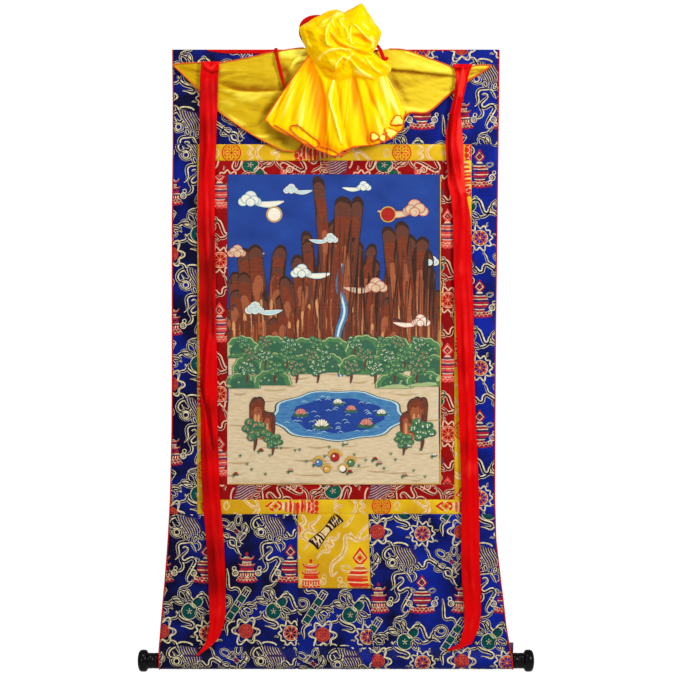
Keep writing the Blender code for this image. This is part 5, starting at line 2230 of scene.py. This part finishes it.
@dataclass
class Piping:
    """The corded red piping down both outer edges, swept by a geometry tree."""

    radius: float = 1.35

    @staticmethod
    def cord_tree() -> NodeTree:
        """The geometry tree that sweeps a cord along a path."""
        sizes = {"Radius": 0.001, "Spacing": 0.004}
        w, given = new_tree("corded piping", {"Geometry": "Geometry", **sizes, "Finish": "Material"})
        curve = w.add("GeometryNodeMeshToCurve", {0: given["Geometry"]}).outputs[0]
        steps = {"Curve": curve, "Length": given["Spacing"]}
        even = w.add("GeometryNodeResampleCurve", steps, mode="LENGTH").outputs[0]
        circle = {"Resolution": 10, "Radius": given["Radius"]}
        ring = w.add("GeometryNodeCurvePrimitiveCircle", circle).outputs[0]
        cord = w.add("GeometryNodeCurveToMesh", {0: even, 1: ring, "Fill Caps": True}).outputs[0]
        return w.finish(cord, given["Finish"])

    def build(self, look: Material) -> None:
        """Builds both cords."""
        tree = self.cord_tree()
        for name, column, inwards in (("piping_left", 1, 1), ("piping_right", 2, -1)):
            run = np.linspace(0.6, HUNG.pocket_start + 52, 300)
            x = looked_up(HUNG.sides, run, column) + inwards * (self.radius + 0.3)
            over = HUNG.thickness / 2 + self.radius + 0.15
            hung = HUNG.place(x, run, fade(run, HUNG.pocket_start - 16, HUNG.pocket_start) * over)
            sizes = {"radius": self.radius * MM, "spacing": 0.004}
            swept_piece(f"{name}_cord", hung, tree, look, "red_piping", [name], **sizes)


# --- The veil

WING_LEFT = (
    (-340.5, 32.5, 35, 7), (-314, 29.5, 60, 7), (-286, 28.5, 88.5, 7), (-247, 29.5, 130, 7),
    (-180.5, 17.5, 176.5, 7), (-141.5, 8, 198, 7.5), (-103, 2, 215, 8), (-72, -2, 205, 9), (-45, 0, 120, 14),
    (-22, 8, 52, 22)
)
WING_RIGHT = (
    (62, 12, 40, 24), (80, 9, 60, 14), (98, 2, 104, 9), (116, 0, 140, 8), (142, 1, 143, 8),
    (161.5, 6, 134, 7), (196, 18.5, 133, 7), (231, 31.5, 104, 7), (253, 39.5, 85.5, 7), (281, 37, 67, 7),
    (306, 33.5, 51, 7), (328, 34, 37, 7)
)
SKIRT = (
    (-54, 14, -149, 149, 21), (-52, 20, -131, 166, 27), (-45, 27, -95, 186, 34), (-30, 34, -67, 200, 33),
    (-12, 40, -38, 212, 32), (4, 44, -18, 223, 40), (18, 44, 1, 227, 42), (34, 42, 17, 218, 36),
    (50, 39, 36, 209, 37), (64, 37, 57, 207, 36), (77, 36, 80, 203, 34), (88, 37, 104, 197, 33),
    (97, 41, 124, 184, 30), (103, 48, 143, 165, 28), (107, 54, 147, 134, 24)
)
# Ridges of the skirt: place across, and rise at the hem.
PLEATS = (
    (0.01, 3), (0.12, 4), (0.21, 6), (0.31, 3), (0.43, 8), (0.57, 5), (0.74, 7), (0.83, 4), (0.91, 5),
    (0.99, 3)
)
KNOT_RIM = (
    (-76, -42), (-58, -53), (-31, -68), (-12, -78), (2, -80.5), (20, -74), (38, -84), (57, -94), (68, -76),
    (82, -54), (97.5, -33), (89, -7), (80, 9), (97, 26), (118, 36), (118, 48), (106, 58), (86, 70), (62, 64),
    (38, 60), (18, 70), (1, 74), (-18, 64), (-30, 44), (-50, 22), (-62, -2), (-70, -22)
)
KNOT_SECTION = (
    (0, 0.0, 70), (30, 0.36, 67), (55, 0.66, 57), (75, 0.89, 42), (95, 1.0, 27), (115, 0.96, 16),
    (135, 0.80, 10), (155, 0.50, 8), (170, 0.25, 8)
)
# Creases: rise, reach, soft side (-1 left, 1 right, 0 both), painted highlight (above 0) and painted shade
# (below 0), then x and drop of each point.
KNOT_CREASES = (
    (5, 3.0, 1, 0.3, -4, -56, -14, -44, -18, -30, -19, -16, -16, -3, -8, 1),
    (4, 5.0, 0, 0.3, 4, -72, -8, -62, -22, -54, -31, -44), (3, 2.4, 0, 0.35, -6, -57, -3, -44, 1, -38),
    (4, 4.0, -1, 0.28, 10, -55, 16, -44, 23, -36, 27, -26, 28, -14),
    (5, 2.2, -1, 0.45, 34, -40, 33, -28, 33, -16, 34, -6, 38, -2),
    (6, 2.4, 1, 0.5, 38, -45, 48, -38, 57, -28, 66, -19, 78, -11),
    (6, 3.2, -1, 0.3, -2, -22, 6, -12, 16, -4, 30, 1, 44, 6, 60, 9, 72, 7),
    (7, 4.0, -1, 0.5, -36, 26, -26, 17, -12, 10, 4, 7, 16, 7, 30, 10),
    (5, 2.6, 1, 0.42, 1, 49, 4, 38, 10, 30, 18, 24, 24, 27, 30, 24, 38, 18),
    (6, 2.6, 1, 0.5, 20, 38, 28, 29, 32, 28, 44, 42, 58, 54, 72, 62, 86, 69),
    (5, 3.0, 1, 0.4, 66, 27, 74, 38, 84, 48, 98, 56), (5, 3.4, 0, 0.5, 70, -76, 74, -64, 80, -50, 92, -38),
    (4, 2.8, 0, 0.4, 76, -72, 84, -62, 91, -50), (4, 5.0, 0, 0.5, 78, -18, 80, -8, 80, 3),
    (4, 4.4, 0, 0.5, 20, -73, 8, -68, 1, -62), (3, 4.0, 0, 0.5, 44, 52, 56, 56, 70, 61),
    (3, 4.4, 0, 0.45, 106, 38, 117, 44, 108, 55), (3, 3.4, 0, 0.2, 12, -60, 26, -57, 44, -60),
    (3, 2.8, 0, 0.3, -58, -14, -56, -6, -52, -1), (3, 3.4, 0, 0.26, 60, -84, 62, -72, 64, -60),
    (2, 5.0, 0, 0.2, -66, -46, -52, -50, -38, -56), (2, 2.6, 0, 0.2, -50, -40, -34, -38, -20, -44),
    (2, 2.6, 0, 0.18, -46, -16, -34, -24, -22, -34), (2, 3.0, 0, 0.22, -10, -36, -6, -26, 0, -20),
    (2, 2.4, 0, 0.2, 4, -44, 10, -34, 14, -20), (2, 3.0, 0, 0.2, 40, -8, 52, -4, 66, -6),
    (2, 3.0, 0, 0.22, 56, -56, 62, -44, 74, -34), (2, 3.0, 0, 0.22, 46, 22, 58, 32, 74, 46),
    (2, 3.0, 0, 0.2, -22, 30, -6, 32, -2, 36), (-4, 5.0, -1, -0.4, -6, -20, 0, -12, 12, -2, 24, 3),
    (-4, 4.6, 0, -0.45, 37, -21, 48, -21, 58, -17, 66, -10), (-4, 6.0, 0, -0.36, -49, 8, -47, 22, -44, 34),
    (-3, 4.0, 0, -0.25, 33, 26, 38, 32, 46, 42), (-4, 3.6, 0, -0.32, 42, 12, 56, 16, 72, 17),
    (-5, 7.0, -1, -0.32, -40, 34, -22, 42, 0, 50, 10, 46), (-3, 6.0, 0, -0.28, -60, -34, -54, -24, -56, -14),
    (-3, 5.0, 0, -0.2, -30, -58, -16, -66, -6, -72), (-3, 7.0, 0, -0.2, 2, -36, 6, -24, 10, -14),
    (-3, 7.0, 0, -0.24, 62, -12, 72, -4, 66, 2), (-4, 5.0, 0, -0.4, 34, 64, 42, 60, 52, 64),
    (-3, 7.0, 0, -0.28, -12, 58, -4, 66, 6, 70), (-3, 5.0, 0, -0.2, 74, 28, 86, 40, 98, 44),
    (-3, 6.0, 0, -0.2, -28, -34, -30, -14, -24, 2)
)
# Creases of the skirt and the wings, in the same columns, with their painted highlights and shade.
SKIRT_CREASES = (
    (-9, 30, -1, -0.6, -52, 20, -40, 45, -28, 75, -21, 110, -19, 150, -15, 210),
    (5, 9, 0, 0.42, -58, 60, -64, 100, -70, 130, -74, 164), (3, 8, 0, 0.25, -84, 60, -96, 110, -106, 162),
    (-2, 6, 0, -0.14, -72, 50, -84, 100, -92, 150), (-4, 3, 0, -0.4, -86, 50, -112, 110, -131, 156),
    (3, 4, 0, 0.22, -96, 60, -120, 114, -140, 152),
    (6, 4, 1, 0.6, -3, 68, -12, 98, -10, 115, 1, 155, 13, 200),
    (-5, 6, 1, -0.36, 3, 74, 7, 96, 12, 135, 26, 204), (3, 10, 0, 0.18, 24, 60, 30, 100, 34, 150, 36, 200),
    (-7, 15, -1, -0.5, 40, 60, 50, 95, 60, 140, 72, 194), (-4, 6, -1, -0.34, 62, 66, 80, 110, 98, 158),
    (3, 6, 0, 0.2, 74, 70, 92, 120, 110, 166), (6, 10, 0, 0.6, 96, 60, 112, 98, 138, 142),
    (3, 6, 0, 0.4, 112, 60, 128, 85, 150, 116), (-3, 8, 0, -0.3, -34, 202, -6, 212, 16, 222),
    (3, 7, 0, 0.35, 78, 126, 92, 160, 98, 188)
)
WING_LEFT_CREASES = (
    (-2, 14, -1, -0.3, -246, 52, -200, 50, -165, 53, -140, 49), (2, 4, 0, 0.2, -246, 66, -215, 58, -188, 55),
    (-3, 15, 1, -0.5, -238, 76, -200, 87, -160, 89, -104, 86),
    (2, 16, -1, 0.36, -240, 84, -200, 90, -160, 92, -114, 92),
    (-1, 3, 0, -0.2, -243, 106, -228, 97, -212, 93), (-3, 11, 0, -0.4, -104, 88, -124, 114, -146, 132),
    (2, 12, 0, 0.16, -246, 120, -205, 112, -170, 108), (1, 8, 0, 0.34, -244, 134, -214, 150, -192, 160),
    (-1.5, 4, 0, -0.24, -192, 166, -168, 161, -150, 150),
    (-1.5, 4, 0, -0.26, -178, 175, -152, 178, -134, 171), (2, 4, 0, 0.4, -174, 180, -150, 184, -126, 180),
    (-2, 12, 0, -0.36, -134, 188, -112, 186, -104, 202), (-3, 12, 0, -0.55, -112, 38, -102, 50, -96, 62),
    (2, 6, 0, 0.5, -112, 8, -86, 4, -62, 4), (3, 4, 0, 0.6, -94, 42, -82, 22, -64, 6),
    (3, 4, 0, 0.5, -88, 30, -76, 24, -58, 20), (1, 15, 0, 0.6, -108, 10, -84, 8, -58, 8),
    (-2, 2.6, 0, -0.5, -92, 26, -76, 15, -60, 11), (-2, 6, 0, -0.3, -328, 38, -305, 44, -288, 46),
    (1, 6, 0, 0.2, -240, 34, -190, 24, -140, 12), (2, 8, 0, 0.16, -240, 44, -200, 40, -150, 36)
)
WING_RIGHT_CREASES = (
    (2, 9, 0, 0.28, 116, 12, 160, 25, 200, 38, 246, 48), (2, 4, 0, 0.34, 150, 8, 200, 22, 240, 36),
    (4, 14, 1, 0.2, 100, 36, 130, 42, 160, 44, 200, 49, 254, 55),
    (-3, 7, -1, -0.55, 100, 38, 130, 44, 160, 46, 200, 51, 254, 57),
    (-1, 18, 0, -0.16, 130, 66, 180, 76, 240, 76), (1, 8, 0, 0.22, 186, 106, 214, 100, 238, 94),
    (2, 8, 0, 0.5, 126, 116, 150, 127, 196, 130), (-2, 8, 0, -0.3, 120, 56, 140, 90, 152, 112),
    (2, 4, 0, 0.3, 280, 40, 300, 38, 324, 37), (-2, 3, 0, -0.4, 280, 46, 300, 43, 326, 40),
    (-2, 3, 0, -0.4, 280, 54, 296, 50, 312, 45)
)
# Rolled ends of the hem: x, drop, depth, half width, half height and turn.
PUFFS = {
    "veil_roll_upper": (131, 154, 33, 13, 10, -20), "veil_roll_outer": (117, 179, 33, 12, 9, 30),
    "veil_roll_lower": (99, 190, 35, 9, 7, 0), "veil_roll_inner": (83, 188, 38, 8.5, 7.5, 0)
}
# Overlocked edges that lie on the skirt: where they run, x and drop.
HEM_LINES = (
    (
        "hem_pleat",
        (
            (-80, 163), (-91, 165), (-91, 173), (-78, 186), (-58, 198), (-43, 208), (-33, 204), (-35, 196),
            (-52, 184), (-72, 168), (-80, 163))),
    ("hem_inner", ((-126, 162), (-106, 174), (-84, 188), (-64, 202), (-50, 209))),
    ("hem_lower", ((-30, 207), (-8, 214), (12, 225), (22, 221), (32, 212), (48, 207)))
)


def creased(table: Rows, x: Numbers, drop: Numbers) -> Arrays:
    """Height, and painted highlights and shade, that a table's creases give to gathered cloth.

    Args:
        table: Rise, reach, soft side, painted highlight (above 0) and painted shade (below 0), and points of
            each crease.
        x, drop: Places.

    Returns:
        The height in millimetres, and the painted highlights and shade as a change of the fold value.
    """
    height, painted_shading = np.zeros_like(x), np.zeros_like(x)
    for rise, reach, soft, shade, *line in table:
        line = np.reshape(line, (-1, 2))
        points = along(line, shares(8 * len(line)))
        near, side, share = np.full_like(x, 1e9), np.zeros_like(x), np.zeros_like(x)
        for number, (a, b) in enumerate(zip(points, points[1:])):
            way = b - a
            part = np.clip(((x - a[0]) * way[0] + (drop - a[1]) * way[1]) / way.dot(way), 0, 1)
            off = np.hypot(x - a[0] - way[0] * part, drop - a[1] - way[1] * part)
            cross = way[1] * (x - a[0]) - way[0] * (drop - a[1])
            closer = off < near
            near, side = np.where(closer, off, near), np.where(closer, cross, side)
            share = np.where(closer, (number + part) / len(points), share)
        wide = np.where(side * soft < 0, min(1.6, reach), reach)
        bell = np.exp(-((near / wide) ** 2)) * (0.35 + 0.65 * np.sin(pi * np.clip(share, 0.04, 0.96)) ** 0.5)
        height += rise * np.exp(-((near / np.maximum(wide, 2.6)) ** 2))
        painted_shading += shade * bell
    return height, painted_shading


@dataclass
class Veil:
    """The silk veil: a knot, a pleated skirt and two wings, gathered from one cloth."""

    kit: ShaderKit
    thickness: float = 0.6
    middle: Pair = (18.0, -8.0)
    mouth: Pair = (18.0, 22.0)

    @staticmethod
    def wing(table: Rows, tip: Pair, creases: Rows, seed: int) -> Arrays:
        """One wing, with creases that fan out from its tip, and its fold values for painted shade and
        highlights.

        Args:
            table: x, upper edge, lower edge and depth.
            tip: x and drop of its tip.
            creases: Its creases.
            seed: Seed of its fine folds.

        Returns:
            The points, and their fold values.
        """
        x, top, bottom, depth = along(table, shares(151)).T
        share = shares(76)[:, None]
        drop = top + (bottom - top) * share
        x = np.broadcast_to(x, drop.shape)
        slack = np.minimum((bottom - top) / 60, 1.0)
        fan = np.arctan2(drop - tip[1], np.abs(x - tip[0]) + 8)
        far = np.minimum(np.abs(x - tip[0]) / 90, 1.0)
        crease = 0.8 * np.sin(13 * fan + seed) + 0.7 * np.sin(23 * fan + 2 * seed)
        crease = crease + 0.6 * np.sin(41 * fan + x / 70)
        height, painted_shading = creased(creases, x, drop)
        fine = -0.9 * np.abs(ripple(x * 0.5, drop, seed, 27.0)) + 0.3 * ripple(x * 0.6, drop, seed + 1, 9.0)
        edge = -1.2 * bump(share, 1.0, 0.03) + 1.1 * np.sin(x / 9.0 + seed) * bump(share, 1.0, 0.09)
        swell = 3.0 * np.sin(pi * share) * far
        y = depth + slack * (far * crease + height + fine + edge + swell)
        # Fold values: painted highlights and shade from the creases, the fan of creases and the fine folds.
        return joined(x, y, drop), np.clip(0.52 + painted_shading + 0.05 * far * crease + 0.08 * fine, 0, 1)

    @staticmethod
    def skirt() -> Arrays:
        """The skirt and its fold values for painted shade and highlights: broad pleats, its own creases, and
        smaller folds among them.
        """
        across, share = shares(361), shares(81)[:, None]
        waist_x, waist_drop, hem_x, hem_drop, hem_depth = along(SKIRT, across).T
        ridges, rises = np.array(PLEATS).T
        phase = 2 * pi * np.interp(across, ridges, np.arange(len(ridges)))
        rise = np.interp(across, ridges, rises)
        small = -np.abs(ripple(across * 100, 0 * across, 71, 9.0, 4)) + 0.5
        tiny = ripple(across * 100, 0 * across, 72, 3.2, 5)
        x = waist_x + (hem_x - waist_x) * share + 1.4 * share * np.sin(phase + 0.7)
        drop = waist_drop + (hem_drop - waist_drop) * share + 1.2 * share**4 * np.sin(phase + 2.2)
        height, painted_shading = creased(SKIRT_CREASES, x, drop)
        pleat = 0.3 * rise * (0.3 + 0.8 * share) * np.cos(phase)
        drift = ripple(across * 100, share * 30, 73, 24.0)
        fine = 1.5 * small * (0.4 + 0.6 * share) + 0.4 * tiny * (1 - 0.5 * share) + 0.7 * drift
        swell = 4.0 * np.sin(pi * share) - 1.6 * bump(share, 1, 0.03)
        depth = 26 + (hem_depth - 26) * share + swell + (pleat + fine + height) * fade(share, 0, 0.3)
        # Fold values: painted highlights and shade from the creases and folds, on a lower base that paints
        # the whole skirt a little darker.
        return joined(x, depth, drop), np.clip(
            0.47 + (painted_shading + 0.07 * drift + 0.17 * small + 0.09 * tiny), 0, 1
        )

    def knot(self) -> Arrays:
        """The gathered knot as rings of points from its front to its open back, and its fold values for
        painted shade and highlights.
        """
        rim = np.array(KNOT_RIM + KNOT_RIM[:1], dtype=float)
        angles = np.unwrap(np.arctan2(rim[:, 1] - self.middle[1], rim[:, 0] - self.middle[0]))
        reach = np.hypot(rim[:, 0] - self.middle[0], rim[:, 1] - self.middle[1])
        around = np.linspace(0, 2 * pi, 301)
        angle = around - 2 * pi * np.floor((around - angles[0]) / (2 * pi))
        radius = np.interp(angle, angles, reach)
        turn = np.linspace(0.5, 170, 120)[:, None]
        share, depth = looked_up(KNOT_SECTION, turn, 1), looked_up(KNOT_SECTION, turn, 2)
        back, front = fade(turn, 100, 165), 1 - fade(turn, 72, 104)
        x0, d0 = (a + (b - a) * back for a, b in zip(self.middle, self.mouth))
        x = x0 + radius * share * np.cos(angle)
        drop = d0 + radius * share * np.sin(angle)
        rise, painted_shading = creased(KNOT_CREASES, x, drop)
        bends = 1.0 - 1.6 * np.abs(ripple(x, drop, 21, 44.0)) - 0.9 * np.abs(ripple(x, drop, 22, 24.0))
        height = depth + front * (rise + bends + 0.2 * ripple(x, drop, 23, 9.0))
        # Uneven painted shading, darker along small creases, added to the fold values.
        uneven = 0.07 * ripple(x, drop, 24, 30.0) - 0.06 * np.abs(ripple(x, drop, 25, 13.0))
        return joined(x, height, drop), np.clip(0.52 + front * painted_shading + uneven, 0, 1)

    @staticmethod
    def puff(x: float, drop: float, depth: float, wide: float, tall: float, turn: float) -> Arrays:
        """A rolled end of the hem, seen from its round side, and its fold values: a painted highlight on its
        middle and painted shade at its rim.

        Args:
            x, drop, depth: Its middle.
            wide, tall: Half its size.
            turn: Its turn in degrees.

        Returns:
            The points, and their fold values.
        """
        around, share = np.linspace(0, 2 * pi, 61), np.linspace(0.02, 1, 16)[:, None]
        c, s = cos(radians(turn)), sin(radians(turn))
        lobes = 1 + 0.2 * share * np.sin(3 * around + x) + 0.07 * share * np.sin(7 * around)
        px, py = wide * share * lobes * np.cos(around), tall * share * lobes * np.sin(around)
        rise = 0.62 * tall * np.sqrt(1.0004 - share**2) + 0.8 * share * np.sin(5 * around)
        # Painted highlight on the roll's round middle and painted shade towards its rim.
        painted_roll_shading = 1.0 - 0.9 * share**5 + 0.2 * np.sin(2 * around + x) * share
        return joined(x + px * c - py * s, depth + rise, drop + px * s + py * c), np.clip(painted_roll_shading, 0, 1)

    @staticmethod
    def hem_tree() -> NodeTree:
        """The geometry tree that lays overlock stitches along a hem."""
        sizes = {"Thread Radius": 0.0012, "Stitch Spacing": 0.0024, "Stitch Length": 0.0065}
        w, given = new_tree("overlocked hem", {"Geometry": "Geometry", **sizes, "Finish": "Material"})
        curve = w.add("GeometryNodeMeshToCurve", {0: given["Geometry"]}).outputs[0]
        steps = {"Curve": curve, "Length": given["Stitch Spacing"]}
        places = w.add("GeometryNodeCurveToPoints", steps, mode="LENGTH").outputs
        thread = {"Vertices": 6, "Radius": given["Thread Radius"], "Depth": given["Stitch Length"]}
        stitch = w.add("GeometryNodeMeshCylinder", thread).outputs["Mesh"]
        lean = {0: places["Rotation"], 1: (0.0, 1.1, 0.0)}
        tilt = w.add("FunctionNodeRotateRotation", lean, rotation_space="LOCAL").outputs[0]
        stitches = {"Points": places["Points"], "Instance": stitch, "Rotation": tilt}
        laid = w.add("GeometryNodeInstanceOnPoints", stitches).outputs[0]
        circle = {"Resolution": 6, "Radius": given["Thread Radius"]}
        ring = w.add("GeometryNodeCurvePrimitiveCircle", circle).outputs[0]
        core = w.add("GeometryNodeCurveToMesh", {0: curve, 1: ring, "Fill Caps": True}).outputs[0]
        both = w.add("GeometryNodeJoinGeometry", {}).inputs[0]
        w.tree.links.new(core, both)
        w.tree.links.new(laid, both)
        return w.finish(both.node.outputs[0], given["Finish"])

    def build(self) -> None:
        """Builds the veil's parts with their overlocked edges."""
        bright, thin = SILK.build(self.kit), THIN_SILK.build(self.kit)
        (knot, knot_folds), (skirt, skirt_folds) = self.knot(), self.skirt()
        left, left_folds = self.wing(WING_LEFT, (-340, 34), WING_LEFT_CREASES, 31)
        right, right_folds = self.wing(WING_RIGHT, (328, 35), WING_RIGHT_CREASES, 41)
        puffs = {name: self.puff(*shape) for name, shape in PUFFS.items()}
        for name, points, folds, look, width in (
            ("veil_knot", knot, knot_folds, bright, 0.3), ("veil_skirt", skirt, skirt_folds, bright, 0.3),
            ("veil_wing_left", left, left_folds, thin, 0.3),
            ("veil_wing_right", right, right_folds, thin, 0.3),
            *((name, points, folds, bright, 0.017) for name, (points, folds) in puffs.items())
        ):
            flat = joined(points[..., 0], points[..., 2])
            piece = cloth_body(name, points, flat, self.thickness, [look], folds)
            as_piece(piece, "yellow_silk", ["veil"] if points is knot else [])
            sheet_area(points) / width
        stitch, tree = OVERLOCK.build(self.kit), self.hem_tree()
        lines = {
            "hem_skirt": skirt[-1], "hem_skirt_side": skirt[:, 0], "hem_wing_left": left[-1],
            "hem_wing_left_top": left[0, :120], "hem_wing_right": right[-1],
            "hem_wing_right_top": right[0, 40:],
            **{f"hem_{name}": points[-1] + [0, 0.8, 0] for name, (points, _) in puffs.items()}
        }
        for name, places in HEM_LINES:
            line = along(places, shares(90))
            close = [int(np.argmin(np.hypot(skirt[..., 0] - x, skirt[..., 2] - d))) for x, d in line]
            lines[name] = joined(line[:, 0], skirt.reshape(-1, 3)[close, 1] + 1.2, line[:, 1])
        for name, line in lines.items():
            swept_piece(name, line, tree, stitch, "yellow_silk")


def fold_values(depth: Numbers, gain: float, reach: int) -> Numbers:
    """How far each grid point stands over or under its neighbourhood: 0 in a valley, 1 on a ridge, for
    painted shade and highlights.

    Args:
        depth: The grid's depths.
        gain: Fold value of a millimetre.
        reach: Size of the neighbourhood in points.

    Returns:
        The fold values.
    """
    smooth = depth.copy()
    for axis, count in enumerate(depth.shape):
        size = min(reach, count // 2)
        total = np.cumsum(np.pad(smooth, [(size * (a == axis),) * 2 for a in (0, 1)], "edge"), axis=axis)
        ahead, behind = (total.take(range(i, i + count), axis) for i in (2 * size, 0))
        smooth = (ahead - behind) / (2 * size)
    return np.clip(0.5 + gain * (depth - smooth), 0, 1)


# --- The roller


@dataclass
class Knob:
    """A turned black knob at one end of the roller."""

    name: str
    start: float
    outwards: int
    profile: Tuple[Pair, ...] = (
        (0, 0), (0, 14.0), (0.4, 15.4), (1.6, 16.4), (6, 16.7), (10.6, 16.3), (11.2, 15.6), (12.0, 16.4),
        (17, 16.6), (22.0, 16.3), (23.4, 17.4), (25.0, 20.6), (27.0, 22.6), (29.5, 23.2), (35.5, 23.2),
        (38.5, 22.5), (41.0, 20.6), (43.0, 16.8), (44.4, 11.0), (45.1, 5.0), (45.2, 0)
    )

    def build(self, look: Material) -> None:
        """Turns the knob on its axis."""
        shape = bmesh.new()
        line = [shape.verts.new(((self.start + self.outwards * d) * MM, 0, r * MM)) for d, r in self.profile]
        edges = [shape.edges.new(pair) for pair in zip(line, line[1:])]
        bmesh.ops.spin(
            shape, geom=line + edges, cent=(0, 0, 0), axis=(1, 0, 0), angle=2 * pi, steps=72, use_merge=True
        )
        bmesh.ops.remove_doubles(shape, verts=shape.verts, dist=0.00001)
        bmesh.ops.recalc_face_normals(shape, faces=shape.faces)
        for vertex in shape.verts:
            vertex.co.y -= HUNG.roller_depth * MM
            vertex.co.z -= HUNG.roller_drop * MM
        mesh = bpy.data.meshes.new(f"{self.name}_turned")
        shape.to_mesh(mesh)
        shape.free()
        mesh.materials.append(look)
        mesh.polygons.foreach_set("use_smooth", np.full(len(mesh.polygons), True))
        piece = bpy.data.objects.new(f"{self.name}_turned", mesh)
        bpy.context.scene.collection.objects.link(piece)
        as_piece(piece, "lacquer", [self.name])


# --- The studio


@dataclass
class Studio:
    """Pale floor, soft lights, and the camera at the photograph's angle."""

    view_width: float = 1.477
    middle_x: float = 0.0317
    middle_z: float = -0.634
    distance: float = 5.0
    floor_z: float = -2.0
    wall_light: float = 0.22

    def _area(self, name: str, place: Tuple[float, float, float], size: float, power: float) -> None:
        """One square soft light that faces the middle of the scroll.

        Args:
            name: Its name.
            place: Where it stands.
            size: Its side in metres.
            power: Its power in watts.
        """
        light = bpy.data.lights.new(name, "AREA")
        light.energy, light.size = power, size
        made = bpy.data.objects.new(name, light)
        made.location = place
        aim = np.array([self.middle_x, 0, self.middle_z]) - np.array(place)
        made.rotation_euler = (atan2(hypot(aim[0], aim[1]), -aim[2]), 0, atan2(aim[1], aim[0]) - pi / 2)
        bpy.context.scene.collection.objects.link(made)

    def build(self, kit: ShaderKit) -> None:
        """Builds the floor, the lights, the world and the camera."""
        scene = bpy.context.scene
        size, finish = 3.0, HardFinish("pale floor", (238, 238, 238), (230, 230, 230), 0.6, 0.0, size=3.0)
        corners = [(x * size, y * size, self.floor_z) for x, y in ((-1, -1), (1, -1), (1, 1), (-1, 1))]
        make_object("studio_floor", corners, [(0, 1, 2, 3)], [finish.build(kit)])
        self._area("key light", (2.3, -2.6, 0.7), 1.2, 104)
        self._area("fill light", (-2.0, -3.6, -0.2), 2.0, 26)
        self._area("top light", (-0.5, -1.4, 1.6), 1.0, 22)
        backdrop = bpy.data.worlds.new("studio")
        backdrop.use_nodes = True
        nodes, links = backdrop.node_tree.nodes, backdrop.node_tree.links
        seen, soft = nodes["Background"], nodes.new("ShaderNodeBackground")
        seen.inputs["Color"].default_value = soft.inputs["Color"].default_value = (1, 1, 1, 1)
        seen.inputs["Strength"].default_value = 1.05
        soft.inputs["Strength"].default_value = self.wall_light
        path, either = nodes.new("ShaderNodeLightPath"), nodes.new("ShaderNodeMixShader")
        links.new(path.outputs["Is Camera Ray"], either.inputs[0])
        links.new(soft.outputs[0], either.inputs[1])
        links.new(seen.outputs[0], either.inputs[2])
        links.new(either.outputs[0], nodes["World Output"].inputs["Surface"])
        scene.world = backdrop
        camera = bpy.data.cameras.new("camera")
        camera.sensor_width = 36.0
        camera.lens = 36.0 * self.distance / self.view_width
        made = bpy.data.objects.new("camera", camera)
        made.location = (self.middle_x, -self.distance, self.middle_z)
        made.rotation_euler = (pi / 2, 0, 0)
        scene.collection.objects.link(made)
        scene.camera = made
        scene.view_settings.view_transform = "Standard"


def main() -> None:
    """Builds every piece in order."""
    logging.basicConfig(level=logging.INFO, format="%(name)s: %(message)s")
    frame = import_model()
    kit = ShaderKit()
    Mount(kit).build()
    Painting(kit).build()
    satin = SATIN.build(kit)
    Ribbon("ribbon_left", RIBBON_LEFT, 51, RIBBON_LEFT_CREASES).build(satin)
    Ribbon("ribbon_right", RIBBON_RIGHT, 61, RIBBON_RIGHT_CREASES).build(satin)
    Tie().build(TAPE.build(kit))
    HeadingTape().build(TAPE.build(kit))
    Piping().build(CORDING.build(kit))
    Veil(kit).build()
    lacquer = LACQUER.build(kit)
    Knob("knob_left", -371.3, -1).build(lacquer)
    Knob("knob_right", 375.3, 1).build(lacquer)
    dowel = frame["nodes"]["roller_dowel"]
    dowel.data.materials.clear()
    dowel.data.materials.append(WOOD.build(kit))
    Studio().build(kit)
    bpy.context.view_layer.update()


if __name__ == "__main__":
    main()
